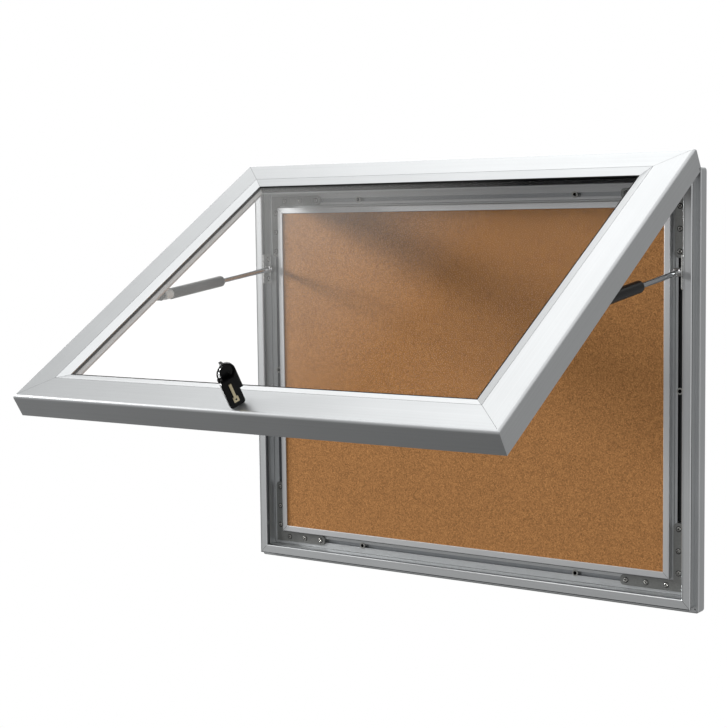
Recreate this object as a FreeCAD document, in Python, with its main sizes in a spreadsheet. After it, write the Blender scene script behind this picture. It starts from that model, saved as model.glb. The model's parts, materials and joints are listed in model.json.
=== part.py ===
# Lockable notice board: a shallow aluminium case that screws to a wall, a cork panel inside it,
# and a glazed door that is hinged along the top and held open by two gas struts.
# Millimetres, +Z up. The origin is the centre of the case's rear face, on the wall: X runs to the
# right, Y into the wall and Z up. The model stands in its open pose.
import FreeCAD, Part
import math
import os

import Sketcher

document = FreeCAD.newDocument("notice_board")

# Driving dimensions. In the frames' cross sections a place is measured inward from the outer edge
# of the case (inset) and forward from the wall (depth).
SIZES = {
    "case_width": "1000",
    "case_height": "796",
    "case_wall": "2.5",
    "inner_wall": "2",
    "flange_depth": "22",
    "flange_edge_radius": "3",
    "case_corner_radius": "7",
    "lip_inset": "9.2",
    "lip_depth": "40.5",
    "lip_inner_inset": "26",
    "lip_thickness": "3",
    "lip_edge_radius": "1.2",
    "groove_inset": "21",
    "groove_start": "31",
    "channel_inset": "27",
    "floor_depth": "11",
    "floor_inset": "62",
    "rebate_width": "6",
    "slot_width": "8",
    "slot_depth": "7",
    "slot_wall": "2",
    "back_panel_thickness": "2.6",
    "panel_gap": "0.3",
    "trim_inset": "57.5",
    "trim_width": "11.6",
    "trim_thickness": "2.3",
    "trim_wall": "2",
    "trim_edge_radius": "0.8",
    "core_thickness": "9.1",
    "cork_thickness": "3",
    "fixing_inset": "43.6",
    "fixing_offset": "245.5",
    "fixing_bore_radius": "3.6",
    "eyelet_wall": "0.9",
    "eyelet_flange_radius": "6.2",
    "eyelet_flange_thickness": "1",
    "bracket_width": "20",
    "bracket_thickness": "3",
    "bracket_leg": "116",
    "bracket_end_radius": "8",
    "tongue_gap": "0.1",
    "bracket_first_hole": "24",
    "bracket_hole_pitch": "40.4",
    "screw_radius": "2.2",
    "screw_head_radius": "4.2",
    "screw_head_height": "1.6",
    "screw_length": "6",
    "bracket_screw_length": "9.9",
    "fit_gap": "0.05",
    "cleat_leg": "80",
    "cleat_rear": "21",
    "cleat_gap": "0.1",
    "grub_offset": "71.5",
    "grub_depth": "34.25",
    "grub_radius": "3",
    "grub_length": "4.2",
    "socket_radius": "1.5",
    "socket_depth": "1.8",
    "door_margin": "0.5",
    "door_rear": "23",
    "door_thickness": "43.8",
    "door_skirt": "2.5",
    "door_wall": "2.5",
    "door_frame_rear": "19.5",
    "door_frame_width": "76.8",
    "door_bevel_width": "19",
    "door_bevel_drop": "6.2",
    "door_edge_radius": "6",
    "glazing_lip": "2",
    "glazing_web": "2",
    "glazing_depth": "14.8",
    "pane_thickness": "4",
    "pane_cover": "12.8",
    "gasket_clearance": "1",
    "seal_inset": "11",
    "seal_width": "9",
    "seal_thickness": "1.8",
    "door_cleat_leg": "70",
    "hinge_inset": "4.3",
    "hinge_depth": "27",
    "hinge_bead_radius": "2.2",
    "hinge_web": "1.4",
    "hinge_hook_wall": "1.55",
    "hinge_hook_gap": "0.05",
    "hinge_hook_start": "68",
    "hinge_hook_opening": "104",
    "hinge_end": "20",
    "hinge_bead_end": "22",
    "corner_relief": "6.5",
    "open_angle": "58.08",
    "strut_inset": "39",
    "strut_case_drop": "184.4",
    "strut_case_depth": "31.8",
    "strut_door_drop": "416",
    "strut_door_rear": "2",
    "strut_rod_radius": "5",
    "strut_rod_start": "20",
    "strut_engagement": "29",
    "strut_piston_length": "8",
    "strut_cylinder_radius": "11",
    "strut_cylinder_wall": "1",
    "strut_cylinder_length": "155",
    "strut_cap_thickness": "6",
    "strut_nose_radius": "5",
    "strut_eye_reach": "33.6",
    "strut_collar_length": "20",
    "strut_collar_radius": "9.3",
    "strut_eye_radius": "8",
    "strut_eye_width": "12",
    "strut_neck_wall": "0.9",
    "strut_pin_radius": "3",
    "strut_plate_thickness": "2.5",
    "strut_plate_half": "31",
    "strut_plate_rear": "16",
    "strut_plate_front": "40",
    "strut_plate_radius": "3",
    "strut_screw_offset": "20",
    "strut_screw_depth": "23",
    "stud_shoulder_wall": "2",
    "stud_head_radius": "4.8",
    "stud_head_height": "2.8",
    "ear_thickness": "2",
    "ear_half": "7",
    "ear_gap": "0.3",
    "ear_eye_gap": "1",
    "foot_width": "18",
    "foot_half": "20",
    "foot_screw_offset": "13",
    "foot_screw_edge": "6",
    "foot_thickness": "2.5",
    "ear_clearance": "0.6",
    "lock_offset": "2",
    "lock_inset": "31",
    "lock_radius": "8",
    "lock_flange_radius": "9.5",
    "lock_flange_height": "1",
    "lock_boss_radius": "7.5",
    "lock_boss_front": "52",
    "lock_nut_radius": "13",
    "lock_nut_height": "4.5",
    "plug_radius": "5",
    "plug_front": "52.4",
    "spindle_radius": "3.5",
    "cam_rear": "9.5",
    "cam_thickness": "2.5",
    "cam_half": "4",
    "cam_reach": "8.5",
    "cam_screw_radius": "3",
    "cam_screw_height": "2",
    "blade_width": "7",
    "blade_thickness": "2",
    "blade_tip": "26",
    "blade_root": "73",
    "key_turn": "61.8",
    "key_width": "28",
    "key_thickness": "7",
    "key_start": "65",
    "key_length": "51",
    "key_corner_radius": "5",
    "ring_radius": "15.2",
    "ring_wire": "1.3",
    "ring_side": "4",
    "ring_centre": "103",
    "ring_layer": "6.15",
    "ring_play": "0.6",
    "eye_half": "2.5",
    "eye_wall": "1.4",
    "spare_side": "9",
    "spare_start": "45.3",
    "spare_length": "49.7",
    "spare_layer": "9.8",
    "spare_thickness": "6",
    "spare_eye_side": "17.9",
    "spare_eye_radius": "2.8",
    "spare_eye_height": "4.5",
    "folded_width": "4.6",
    "folded_length": "29",
    "folded_base": "9.5",
    "folded_pivot": "13.5",
    "folded_lift": "0.2",
    "pivot_radius": "1.6",
}

# How far a cutting tool runs past the face that it cuts through.
OVERCUT = 1

sheet = document.addObject("Spreadsheet::Sheet", "Sizes")
for row, (alias, number) in enumerate(SIZES.items(), start=1):
    sheet.set(f"A{row}", alias)
    sheet.set(f"B{row}", number)
    sheet.setAlias(f"B{row}", alias)
document.recompute()


# Sizes that carry their own expression

class Size:
    """A number together with the expression that gives it from the sheet."""

    def __init__(self, value, text):
        self.value = float(value)
        self.text = text

    def __add__(self, other):
        return combine(self, "+", other, self.value + value_of(other))

    def __radd__(self, other):
        return combine(other, "+", self, value_of(other) + self.value)

    def __sub__(self, other):
        return combine(self, "-", other, self.value - value_of(other))

    def __rsub__(self, other):
        return combine(other, "-", self, value_of(other) - self.value)

    def __mul__(self, other):
        return combine(self, "*", other, self.value * value_of(other))

    def __rmul__(self, other):
        return combine(other, "*", self, value_of(other) * self.value)

    def __truediv__(self, other):
        return combine(self, "/", other, self.value / value_of(other))

    def __neg__(self):
        return combine(0, "-", self, -self.value)


def value_of(size):
    return size.value if isinstance(size, Size) else float(size)


def text_of(size):
    return size.text if isinstance(size, Size) else f"({float(size):g})"


def combine(left, sign, right, value):
    return Size(value, f"({text_of(left)} {sign} {text_of(right)})")


def cosine(angle):
    return Size(math.cos(math.radians(value_of(angle))), f"cos({text_of(angle)} * 1 deg)")


def sine(angle):
    return Size(math.sin(math.radians(value_of(angle))), f"sin({text_of(angle)} * 1 deg)")


def root(square):
    return Size(math.sqrt(value_of(square)), f"sqrt({text_of(square)})")


def heading(up, across):
    """The angle in degrees, from the first direction towards the second."""
    degrees = math.degrees(math.atan2(value_of(across), value_of(up)))
    return Size(degrees, f"(atan2({text_of(across)}; {text_of(up)}) / 1 deg)")


def named(alias):
    return Size(sheet.get(alias), f"Sizes.{alias}")


S = {alias: named(alias) for alias in SIZES}


# Placements written as a chain of moves and turns

AXES = {"X": (1, 0, 0), "Y": (0, 1, 0), "Z": (0, 0, 1)}


def move(x=0, y=0, z=0):
    vector = f"create(<<vector>>; {text_of(x)}; {text_of(y)}; {text_of(z)})"
    still = "create(<<rotation>>; create(<<vector>>; 0; 0; 1); 0)"
    return f"create(<<placement>>; {vector}; {still})"


def turn(axis, angle):
    x, y, z = AXES[axis]
    rotation = f"create(<<rotation>>; create(<<vector>>; {x}; {y}; {z}); {text_of(angle)})"
    return f"create(<<placement>>; create(<<vector>>; 0; 0; 0); {rotation})"


PLACED = {}


def place(piece, *steps):
    """Carry the piece, with any place that it already has, by the steps."""
    chain = list(steps) + PLACED.get(piece.Name, [])
    if chain:
        piece.setExpression("Placement", " * ".join(chain))
        PLACED[piece.Name] = chain
    return piece


def bind(piece, **sizes):
    for name, size in sizes.items():
        piece.setExpression(name, text_of(size))


# Primitives, joined and cut

def add(kind, name):
    return document.addObject(kind, name)


def block(name, width, depth, height, *steps):
    """A box from its own corner along X, Y and Z."""
    piece = add("Part::Box", name)
    bind(piece, Length=width, Width=depth, Height=height)
    return place(piece, *steps)


def slab(name, x_span, y_span, z_span):
    """A box between three pairs of limits."""
    (x0, x1), (y0, y1), (z0, z1) = x_span, y_span, z_span
    return block(name, x1 - x0, y1 - y0, z1 - z0, move(x0, y0, z0))


def cylinder(name, radius, length, *steps):
    """A cylinder from the origin along +Z."""
    piece = add("Part::Cylinder", name)
    bind(piece, Radius=radius, Height=length)
    return place(piece, *steps)


def hexagon(name, radius, length, *steps):
    piece = add("Part::Prism", name)
    piece.Polygon = 6
    bind(piece, Circumradius=radius, Height=length)
    return place(piece, *steps)


def cut(name, base, tool):
    piece = add("Part::Cut", name)
    piece.Base = base
    piece.Tool = tool
    return piece


def cut_all(name, base, tools):
    return cut(name, base, group(f"{name}_tools", tools))


def fuse(name, *pieces):
    piece = add("Part::MultiFuse", name)
    piece.Shapes = list(pieces)
    piece.Refine = True
    return piece


def group(name, pieces):
    piece = add("Part::Compound", name)
    piece.Links = list(pieces)
    return piece


# Sketches and the features made from them

def origin_plane(body, role):
    for feature in body.Origin.OriginFeatures:
        if feature.Role == role:
            return feature
    raise ValueError(role)


def sketch_on(body, name, role, offset=0, flip=False):
    """A sketch on one of the body's own planes; flip turns it to face the other way."""
    sketch = body.newObject("Sketcher::SketchObject", name)
    sketch.AttachmentSupport = [(origin_plane(body, role), "")]
    sketch.MapMode = "FlatFace"
    facing = FreeCAD.Rotation(FreeCAD.Vector(0, 1, 0), 180 if flip else 0)
    sketch.AttachmentOffset = FreeCAD.Placement(FreeCAD.Vector(0, 0, 0), facing)
    if isinstance(offset, Size):
        sketch.setExpression("AttachmentOffset.Base.z", text_of(offset))
    return sketch


def pin_point(sketch, geometry, end, x, y):
    """Hold one point of the sketch at a place measured from its origin."""
    for kind, size in (("DistanceX", x), ("DistanceY", y)):
        index = sketch.addConstraint(Sketcher.Constraint(kind, -1, 1, geometry, end, value_of(size)))
        if isinstance(size, Size):
            sketch.setExpression(f"Constraints[{index}]", text_of(size))


def bind_radius(sketch, geometry, radius):
    index = sketch.addConstraint(Sketcher.Constraint("Radius", geometry, value_of(radius)))
    sketch.setExpression(f"Constraints[{index}]", text_of(radius))


def point_at(x, y):
    return FreeCAD.Vector(value_of(x), value_of(y), 0)


def towards(start, end, distance):
    """A point on an upright or level edge, the distance away from its start."""
    (x0, y0), (x1, y1) = start[:2], end[:2]
    along_x = value_of(x1) - value_of(x0)
    along_y = value_of(y1) - value_of(y0)
    if abs(along_x) > abs(along_y):
        return (x0 + distance if along_x > 0 else x0 - distance, y0)
    return (x0, y0 + distance if along_y > 0 else y0 - distance)


def outline(sketch, corners):
    """A closed outline through the corners. A corner's third value rounds it, where its two
    edges are upright and level."""
    nodes = []
    for index, corner in enumerate(corners):
        if len(corner) == 2:
            nodes.append((corner, corner, None))
            continue
        before = corners[index - 1]
        after = corners[(index + 1) % len(corners)]
        radius = corner[2]
        nodes.append((towards(corner, before, radius), towards(corner, after, radius), corner))
    lines = []
    for index, (_, leave, _) in enumerate(nodes):
        arrive = nodes[(index + 1) % len(nodes)][0]
        line = sketch.addGeometry(Part.LineSegment(point_at(*leave[:2]), point_at(*arrive[:2])))
        pin_point(sketch, line, 1, *leave[:2])
        lines.append(line)
    for index, (arrive, leave, corner) in enumerate(nodes):
        if corner is None:
            sketch.addConstraint(Sketcher.Constraint("Coincident", lines[index - 1], 2, lines[index], 1))
            continue
        pin_point(sketch, lines[index - 1], 2, *arrive)
        start, end, tip = point_at(*arrive), point_at(*leave), point_at(*corner[:2])
        centre = start + end - tip
        middle = centre + (tip - centre).normalize() * value_of(corner[2])
        arc = sketch.addGeometry(Part.Arc(start, middle, end))
        swapped = (sketch.getPoint(arc, 1) - start).Length > 1e-6
        first, last = (2, 1) if swapped else (1, 2)
        sketch.addConstraint(Sketcher.Constraint("Coincident", arc, first, lines[index - 1], 2))
        sketch.addConstraint(Sketcher.Constraint("Coincident", arc, last, lines[index], 1))
        bind_radius(sketch, arc, corner[2])


def circle(sketch, x, y, radius):
    ring = sketch.addGeometry(Part.Circle(point_at(x, y), FreeCAD.Vector(0, 0, 1), value_of(radius)))
    pin_point(sketch, ring, 3, x, y)
    bind_radius(sketch, ring, radius)


def pad(body, sketch, length, symmetric=False):
    feature = body.newObject("PartDesign::Pad", f"{sketch.Name}_pad")
    feature.Profile = sketch
    bind(feature, Length=length)
    if symmetric:
        feature.SideType = "Symmetric"
    return feature


def pocket(body, sketch, length=None, forward=False):
    """Cut the sketch out: all the way both ways, or to a length behind or in front of it."""
    feature = body.newObject("PartDesign::Pocket", f"{sketch.Name}_pocket")
    feature.Profile = sketch
    if length is None:
        feature.Type = "ThroughAll"
        feature.SideType = "Symmetric"
    else:
        bind(feature, Length=length)
        feature.Reversed = forward
    return feature


# Profile members. Each is drawn as the bottom one of its frame: its length runs along X, its
# outer edge is at Z = 0 with the inset upward, and the depth runs towards -Y.

ends = (-1, 1)


def member(name, length, *outlines):
    """A straight extrusion of (depth, inset) outlines, centred on its length."""
    body = add("PartDesign::Body", name)
    section = sketch_on(body, f"{name}_section", "YZ_Plane", flip=True)
    for corners in outlines:
        outline(section, corners)
    pad(body, section, length, symmetric=True)
    return body


def mitre(body, length, width):
    """Cut both ends of a member back at 45 degrees."""
    sketch = sketch_on(body, f"{body.Name}_mitre", "XZ_Plane")
    reach = width + OVERCUT
    for side in ends:
        tip = length / 2 * side
        outline(sketch, [(tip, 0), (tip, reach), (tip - reach * side, reach)])
    pocket(body, sketch)


def round_corner(body, name, length, inset, radius, start, depth):
    """Round the frame's outer corners where the mitred members meet."""
    sketch = sketch_on(body, f"{body.Name}_{name}", "XZ_Plane", offset=start)
    for side in ends:
        tip = (length / 2 - inset) * side
        near = tip - radius * side
        slant = radius * (1 - cosine(45))
        middle = radius * (1 - cosine(22.5))
        quarter = radius * (1 - sine(22.5))
        chord = [(near, inset), (tip, inset), (tip - slant * side, inset + slant),
                 (tip - quarter * side, inset + middle)]
        outline(sketch, chord)
    pocket(body, sketch, depth, forward=True)


def case_section():
    wall, inner, lip = S["case_wall"], S["inner_wall"], S["lip_depth"]
    rebate = S["floor_inset"] - S["rebate_width"]
    seat = S["floor_depth"] - S["back_panel_thickness"]
    groove_end = lip - S["lip_thickness"]
    edge, fine = S["flange_edge_radius"], S["lip_edge_radius"]
    slot_near = S["fixing_inset"] - S["slot_width"] / 2
    slot_far, slot_floor = slot_near + S["slot_width"], S["floor_depth"] - S["slot_depth"]
    outer = [
        (0, 0), (S["flange_depth"], 0, edge), (S["flange_depth"], S["lip_inset"]),
        (lip, S["lip_inset"], fine), (lip, S["lip_inner_inset"], fine),
        (groove_end, S["lip_inner_inset"]), (groove_end, S["groove_inset"]),
        (S["groove_start"], S["groove_inset"]), (S["groove_start"], S["channel_inset"]),
        (S["floor_depth"], S["channel_inset"]), (S["floor_depth"], slot_near), (slot_floor, slot_near),
        (slot_floor, slot_far), (S["floor_depth"], slot_far), (S["floor_depth"], rebate), (seat, rebate),
        (seat, S["floor_inset"]), (0, S["floor_inset"]),
    ]
    wide = [
        (wall, wall), (S["flange_depth"] - wall, wall), (S["flange_depth"] - wall, S["lip_inset"] + wall),
        (lip - wall, S["lip_inset"] + wall), (lip - wall, S["groove_inset"] - inner),
        (S["groove_start"] - inner, S["groove_inset"] - inner),
        (S["groove_start"] - inner, S["channel_inset"] - inner), (wall, S["channel_inset"] - inner),
    ]
    floor_rear = S["floor_depth"] - inner
    near_flat = [
        (inner, S["channel_inset"] + inner), (floor_rear, S["channel_inset"] + inner),
        (floor_rear, slot_near - S["slot_wall"]), (inner, slot_near - S["slot_wall"]),
    ]
    far_flat = [
        (inner, slot_far + S["slot_wall"]), (floor_rear, slot_far + S["slot_wall"]),
        (floor_rear, rebate - inner), (seat - inner, rebate - inner),
        (seat - inner, S["floor_inset"] - inner), (inner, S["floor_inset"] - inner),
    ]
    return outer, wide, near_flat, far_flat


def hole_row(body, name, role, offset, centres, radius, depth):
    sketch = sketch_on(body, f"{body.Name}_{name}", role, offset=offset)
    for x, y in centres:
        circle(sketch, x, y, radius)
    pocket(body, sketch, depth)


def strut_screw_heights():
    pivot = S["case_height"] / 2 - S["strut_case_drop"]
    return [pivot - S["strut_screw_offset"], pivot + S["strut_screw_offset"]]


def case_member(name, length, fixings, strut_side=None, hinged=False):
    body = member(name, length, *case_section())
    if hinged:
        bead = sketch_on(body, f"{name}_bead", "YZ_Plane", flip=True)
        circle(bead, S["hinge_depth"], S["hinge_inset"], S["hinge_bead_radius"])
        bead_length = length - 2 * S["hinge_bead_end"]
        pad(body, bead, bead_length, symmetric=True)
        web = sketch_on(body, f"{name}_web", "YZ_Plane", flip=True)
        near, far = S["hinge_depth"] - S["hinge_web"] / 2, S["hinge_depth"] + S["hinge_web"] / 2
        sunk = S["lip_inset"] + S["case_wall"] / 2
        outline(web, [(near, S["hinge_inset"]), (far, S["hinge_inset"]), (far, sunk), (near, sunk)])
        pad(body, web, bead_length, symmetric=True)
    mitre(body, length, S["floor_inset"])
    round_corner(body, "flange_corner", length, 0, S["case_corner_radius"], 0, S["flange_depth"])
    round_corner(body, "lip_corner", length, S["lip_inset"], S["case_corner_radius"],
                 S["flange_depth"], S["lip_depth"])
    inset, gap = S["fixing_inset"], S["fit_gap"]
    hole_row(body, "fixing_holes", "XZ_Plane", S["floor_depth"], [(x, inset) for x in fixings],
             S["fixing_bore_radius"] + S["eyelet_wall"] + gap, S["floor_depth"] + OVERCUT)
    hole_row(body, "grub_holes", "XY_Plane", S["groove_inset"],
             [((length / 2 - S["grub_offset"]) * side, -S["grub_depth"]) for side in ends],
             S["grub_radius"] + gap, S["case_wall"])
    if strut_side is not None:
        hole_row(body, "strut_holes", "XY_Plane", S["channel_inset"],
                 [(height * strut_side, -S["strut_screw_depth"]) for height in strut_screw_heights()],
                 S["screw_radius"] + gap, S["case_wall"])
    return body


FRAME_TURNS = {"bottom": 0, "top": 180, "left": 90, "right": -90}


def frame_place(side, width, height):
    """Carry a member drawn as the bottom one to its own side of a frame."""
    shift = {"bottom": (0, -height / 2), "top": (0, height / 2),
             "left": (-width / 2, 0), "right": (width / 2, 0)}[side]
    return [move(x=shift[0], z=shift[1]), turn("Y", FRAME_TURNS[side])]


def side_length(side, width, height):
    return width if side in ("bottom", "top") else height


NODES = {}


def node(label, piece, *steps):
    """Name a finished sub-part and put it in its place."""
    piece.Label = label
    place(piece, *steps)
    NODES[label] = piece


# Case

WIDTH, HEIGHT = S["case_width"], S["case_height"]
left_right = (("left", -1), ("right", 1))


def make_case():
    offset = S["fixing_offset"]
    for side in FRAME_TURNS:
        length = side_length(side, WIDTH, HEIGHT)
        fixings = [-offset, offset] if side in ("bottom", "top") else [Size(0, "0")]
        strut_side = {"left": -1, "right": 1}.get(side)
        body = case_member(f"case_{side}_profile", length, fixings, strut_side, hinged=side == "top")
        node(f"case_{side}_profile", body, *frame_place(side, WIDTH, HEIGHT))


def sheet_panel(name, inset, start, thickness):
    """A flat rectangle that keeps one inset from the case's outer edges."""
    half_x, half_z = WIDTH / 2 - inset, HEIGHT / 2 - inset
    return slab(name, (-half_x, half_x), (-(start + thickness), -start), (-half_z, half_z))


def make_board():
    rebate = S["floor_inset"] - S["rebate_width"]
    seat = S["floor_depth"] - S["back_panel_thickness"]
    node("back_panel", sheet_panel("back_panel", rebate + S["panel_gap"], seat, S["back_panel_thickness"]))
    board_inset = S["trim_inset"] + S["trim_wall"] + S["panel_gap"]
    node("board_core", sheet_panel("board_core", board_inset, S["floor_depth"], S["core_thickness"]))
    cork_start = S["floor_depth"] + S["core_thickness"]
    node("cork_panel", sheet_panel("cork_panel", board_inset, cork_start, S["cork_thickness"]))
    width, height = WIDTH - 2 * S["trim_inset"], HEIGHT - 2 * S["trim_inset"]
    underside = S["core_thickness"] + S["cork_thickness"]
    front, edge = underside + S["trim_thickness"], S["trim_edge_radius"]
    section = [(0, 0), (front, 0, edge), (front, S["trim_width"], edge), (underside, S["trim_width"]),
               (underside, S["trim_wall"]), (0, S["trim_wall"])]
    for side in FRAME_TURNS:
        length = side_length(side, width, height)
        body = member(f"board_{side}_trim", length, section)
        mitre(body, length, S["trim_width"])
        node(f"board_{side}_trim", body, move(y=-S["floor_depth"]), *frame_place(side, width, height))


# Corner brackets and fixings

CORNERS = {"bottom_left": (-1, -1, 0), "top_left": (-1, 1, 90), "top_right": (1, 1, 180),
           "bottom_right": (1, -1, -90)}


def corner_place(corner, inset):
    """Carry a piece drawn at the bottom left corner's inset point to its own corner."""
    x_side, z_side, angle = CORNERS[corner]
    return [move(x=(WIDTH / 2 - inset) * x_side, z=(HEIGHT / 2 - inset) * z_side), turn("Y", angle)]


def corner_legs():
    """Unit directions of a bracket's two legs as seen at the bottom left corner."""
    return ((1, 0), (0, 1))


def make_corner_bracket(corner):
    name = f"corner_bracket_{corner}"
    body = add("PartDesign::Body", name)
    plate = sketch_on(body, f"{name}_plate", "XZ_Plane", offset=S["floor_depth"])
    half, leg, radius = S["bracket_width"] / 2, S["bracket_leg"], S["bracket_end_radius"]
    outline(plate, [(-half, -half), (leg, -half, radius), (leg, half, radius), (half, half),
                    (half, leg, radius), (-half, leg, radius)])
    pad(body, plate, S["bracket_thickness"])
    tongue = sketch_on(body, f"{name}_tongue", "XZ_Plane", offset=S["floor_depth"])
    half = S["slot_width"] / 2 - S["tongue_gap"]
    outline(tongue, [(-half, -half), (leg, -half), (leg, half), (half, half), (half, leg), (-half, leg)])
    in_slot = pad(body, tongue, S["slot_depth"] - S["tongue_gap"])
    in_slot.Reversed = True
    holes = sketch_on(body, f"{name}_holes", "XZ_Plane")
    for along_x, along_z in corner_legs():
        for step in range(3):
            reach = S["bracket_first_hole"] + S["bracket_hole_pitch"] * step
            circle(holes, reach * along_x, reach * along_z, S["screw_radius"] + S["fit_gap"])
    pocket(body, holes)
    node(name, body, *corner_place(corner, S["fixing_inset"]))


def make_screw(name, radius, length, head_radius, head_height, *steps):
    """A pan head screw along Z: its head stands on the XY plane and its shank runs down."""
    shank = cylinder(f"{name}_shank", radius, length, move(z=-length))
    head = cylinder(f"{name}_head", head_radius, head_height)
    return place(fuse(name, shank, head), *steps)


def board_screw(name, *steps, length=S["screw_length"]):
    return make_screw(name, S["screw_radius"], length, S["screw_head_radius"],
                      S["screw_head_height"], *steps)


def make_bracket_screws():
    seat = S["floor_depth"] + S["bracket_thickness"]
    screws = []
    for corner in CORNERS:
        for leg, (along_x, along_z) in enumerate(corner_legs()):
            for step in range(3):
                reach = S["bracket_first_hole"] + S["bracket_hole_pitch"] * step
                screws.append(board_screw(f"bracket_screw_{corner}_{leg}_{step}",
                                          *corner_place(corner, S["fixing_inset"]),
                                          move(reach * along_x, -seat, reach * along_z), turn("X", 90),
                                          length=S["bracket_screw_length"]))
    node("corner_bracket_screws", group("corner_bracket_screws", screws))


def make_corner_cleats():
    """Hidden angles that sit in the lip's chamber, and the set screws that press on them."""
    gap = S["cleat_gap"]
    near = S["lip_inset"] + S["case_wall"] + gap
    far = S["groove_inset"] - S["inner_wall"] - gap
    rear = S["cleat_rear"]
    front = S["lip_depth"] - S["case_wall"] - gap
    cleats, screws = [], []
    for corner in CORNERS:
        level = slab(f"cleat_{corner}_level", (near, S["cleat_leg"] + near), (-front, -rear), (near, far))
        upright = slab(f"cleat_{corner}_upright", (near, far), (-front, -rear), (near, S["cleat_leg"] + near))
        cleats.append(place(fuse(f"cleat_{corner}", level, upright), *corner_place(corner, Size(0, "0"))))
        for leg, steps in enumerate(([move(S["grub_offset"], -S["grub_depth"], far)],
                                     [move(far, -S["grub_depth"], S["grub_offset"]), turn("Y", 90)])):
            name = f"grub_{corner}_{leg}"
            stem = cylinder(f"{name}_stem", S["grub_radius"], S["grub_length"])
            socket = hexagon(f"{name}_socket", S["socket_radius"], S["socket_depth"] + OVERCUT,
                             move(z=S["grub_length"] - S["socket_depth"]))
            screws.append(place(cut(name, stem, socket), *corner_place(corner, Size(0, "0")), *steps))
    node("case_corner_cleats", group("case_corner_cleats", cleats))
    node("case_grub_screws", group("case_grub_screws", screws))


def make_eyelets():
    """Metal rims that line the six holes for the wall screws."""
    inset, offset, floor = S["fixing_inset"], S["fixing_offset"], S["floor_depth"]
    centres = [(offset * side, (HEIGHT / 2 - inset) * level) for side in ends for level in ends]
    centres += [((WIDTH / 2 - inset) * side, Size(0, "0")) for side in ends]
    eyelets = []
    for number, (x, z) in enumerate(centres, start=1):
        name = f"eyelet_{number}"
        tube = cylinder(f"{name}_tube", S["fixing_bore_radius"] + S["eyelet_wall"], floor)
        rim = cylinder(f"{name}_rim", S["eyelet_flange_radius"], S["eyelet_flange_thickness"], move(z=floor))
        bore = cylinder(f"{name}_bore", S["fixing_bore_radius"],
                        floor + S["eyelet_flange_thickness"] + 2 * OVERCUT, move(z=-OVERCUT))
        lined = cut(name, fuse(f"{name}_body", tube, rim), bore)
        eyelets.append(place(lined, move(x=x, z=z), turn("X", 90)))
    node("wall_fixing_eyelets", group("wall_fixing_eyelets", eyelets))


# Door. Its pieces are drawn closed, with the depth measured forward from the door's rear plane
# and the inset inward from the door's outer edge, and then swung open about the hinge.

DOOR_WIDTH = WIDTH - 2 * S["door_margin"]
DOOR_HEIGHT = HEIGHT - 2 * S["door_margin"]
HINGE_Z = HEIGHT / 2 - S["hinge_inset"]
DOOR_OPEN = [move(y=-S["hinge_depth"], z=HINGE_Z), turn("X", -S["open_angle"]),
             move(y=S["hinge_depth"], z=-HINGE_Z)]
DOOR_FRAME = DOOR_OPEN + [move(y=-S["door_rear"])]


def door_section(skirt_start):
    wall, skirt, rear = S["door_wall"], S["door_skirt"], S["door_frame_rear"]
    front, width = S["door_thickness"], S["door_frame_width"]
    bevel = front - S["door_bevel_drop"]
    slot, web = width - S["glazing_depth"], S["glazing_web"]
    face = width - S["door_bevel_width"]
    seat = bevel - S["glazing_lip"]
    outer = [
        (skirt_start, 0), (front, 0, S["door_edge_radius"]), (front, face),
        (bevel, width), (seat, width), (seat, slot), (rear + wall, slot), (rear + wall, width),
        (rear, width), (rear, skirt), (skirt_start, skirt),
    ]
    inner_radius = S["door_edge_radius"] - wall
    shoulder = front - wall
    corner = face - web / 2
    chamber = [
        (rear + wall, skirt), (shoulder, skirt, inner_radius), (shoulder, corner),
        (shoulder - web / 2, slot - web), (rear + wall, slot - web),
    ]
    return outer, chamber


def hinge_hook(body, length):
    """The curled edge of the top rail that wraps the case's bead."""
    depth, inset = S["hinge_depth"] - S["door_rear"], S["hinge_inset"] - S["door_margin"]
    inner = S["hinge_bead_radius"] + S["hinge_hook_gap"]
    outer = inner + S["hinge_hook_wall"]
    run = length - 2 * S["hinge_end"]
    disc = sketch_on(body, f"{body.Name}_hook", "YZ_Plane", flip=True)
    circle(disc, depth, inset, outer)
    pad(body, disc, run, symmetric=True)
    bore = sketch_on(body, f"{body.Name}_bore", "YZ_Plane", flip=True)
    circle(bore, depth, inset, inner)
    pocket(body, bore)
    mouth = sketch_on(body, f"{body.Name}_mouth", "YZ_Plane", flip=True)
    reach = outer * 1.2
    rays = [S["hinge_hook_start"] + S["hinge_hook_opening"] * share for share in (0, 0.5, 1)]
    outline(mouth, [(depth, inset)] + [(depth + reach * cosine(ray), inset + reach * sine(ray))
                                       for ray in rays])
    pocket(body, mouth)


def relieve_stile(body, length, top_end):
    """Clear the top of a stile's skirt from the case when the door swings."""
    sketch = sketch_on(body, f"{body.Name}_relief", "XZ_Plane")
    relief, tip = S["corner_relief"], length / 2 * top_end
    outline(sketch, [(tip, 0), (tip, relief), (tip - relief * top_end, relief), (tip - relief * top_end, 0)])
    pocket(body, sketch, relief, forward=True)


FOOT_NEAR = S["channel_inset"] - S["door_margin"] + S["ear_clearance"]


def foot_screws():
    """Places, down the door and inward, of the strut feet's screws."""
    inset = FOOT_NEAR + S["foot_width"] - S["foot_screw_edge"]
    return [(S["strut_door_drop"] + S["foot_screw_offset"] * side, inset) for side in ends]


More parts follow.
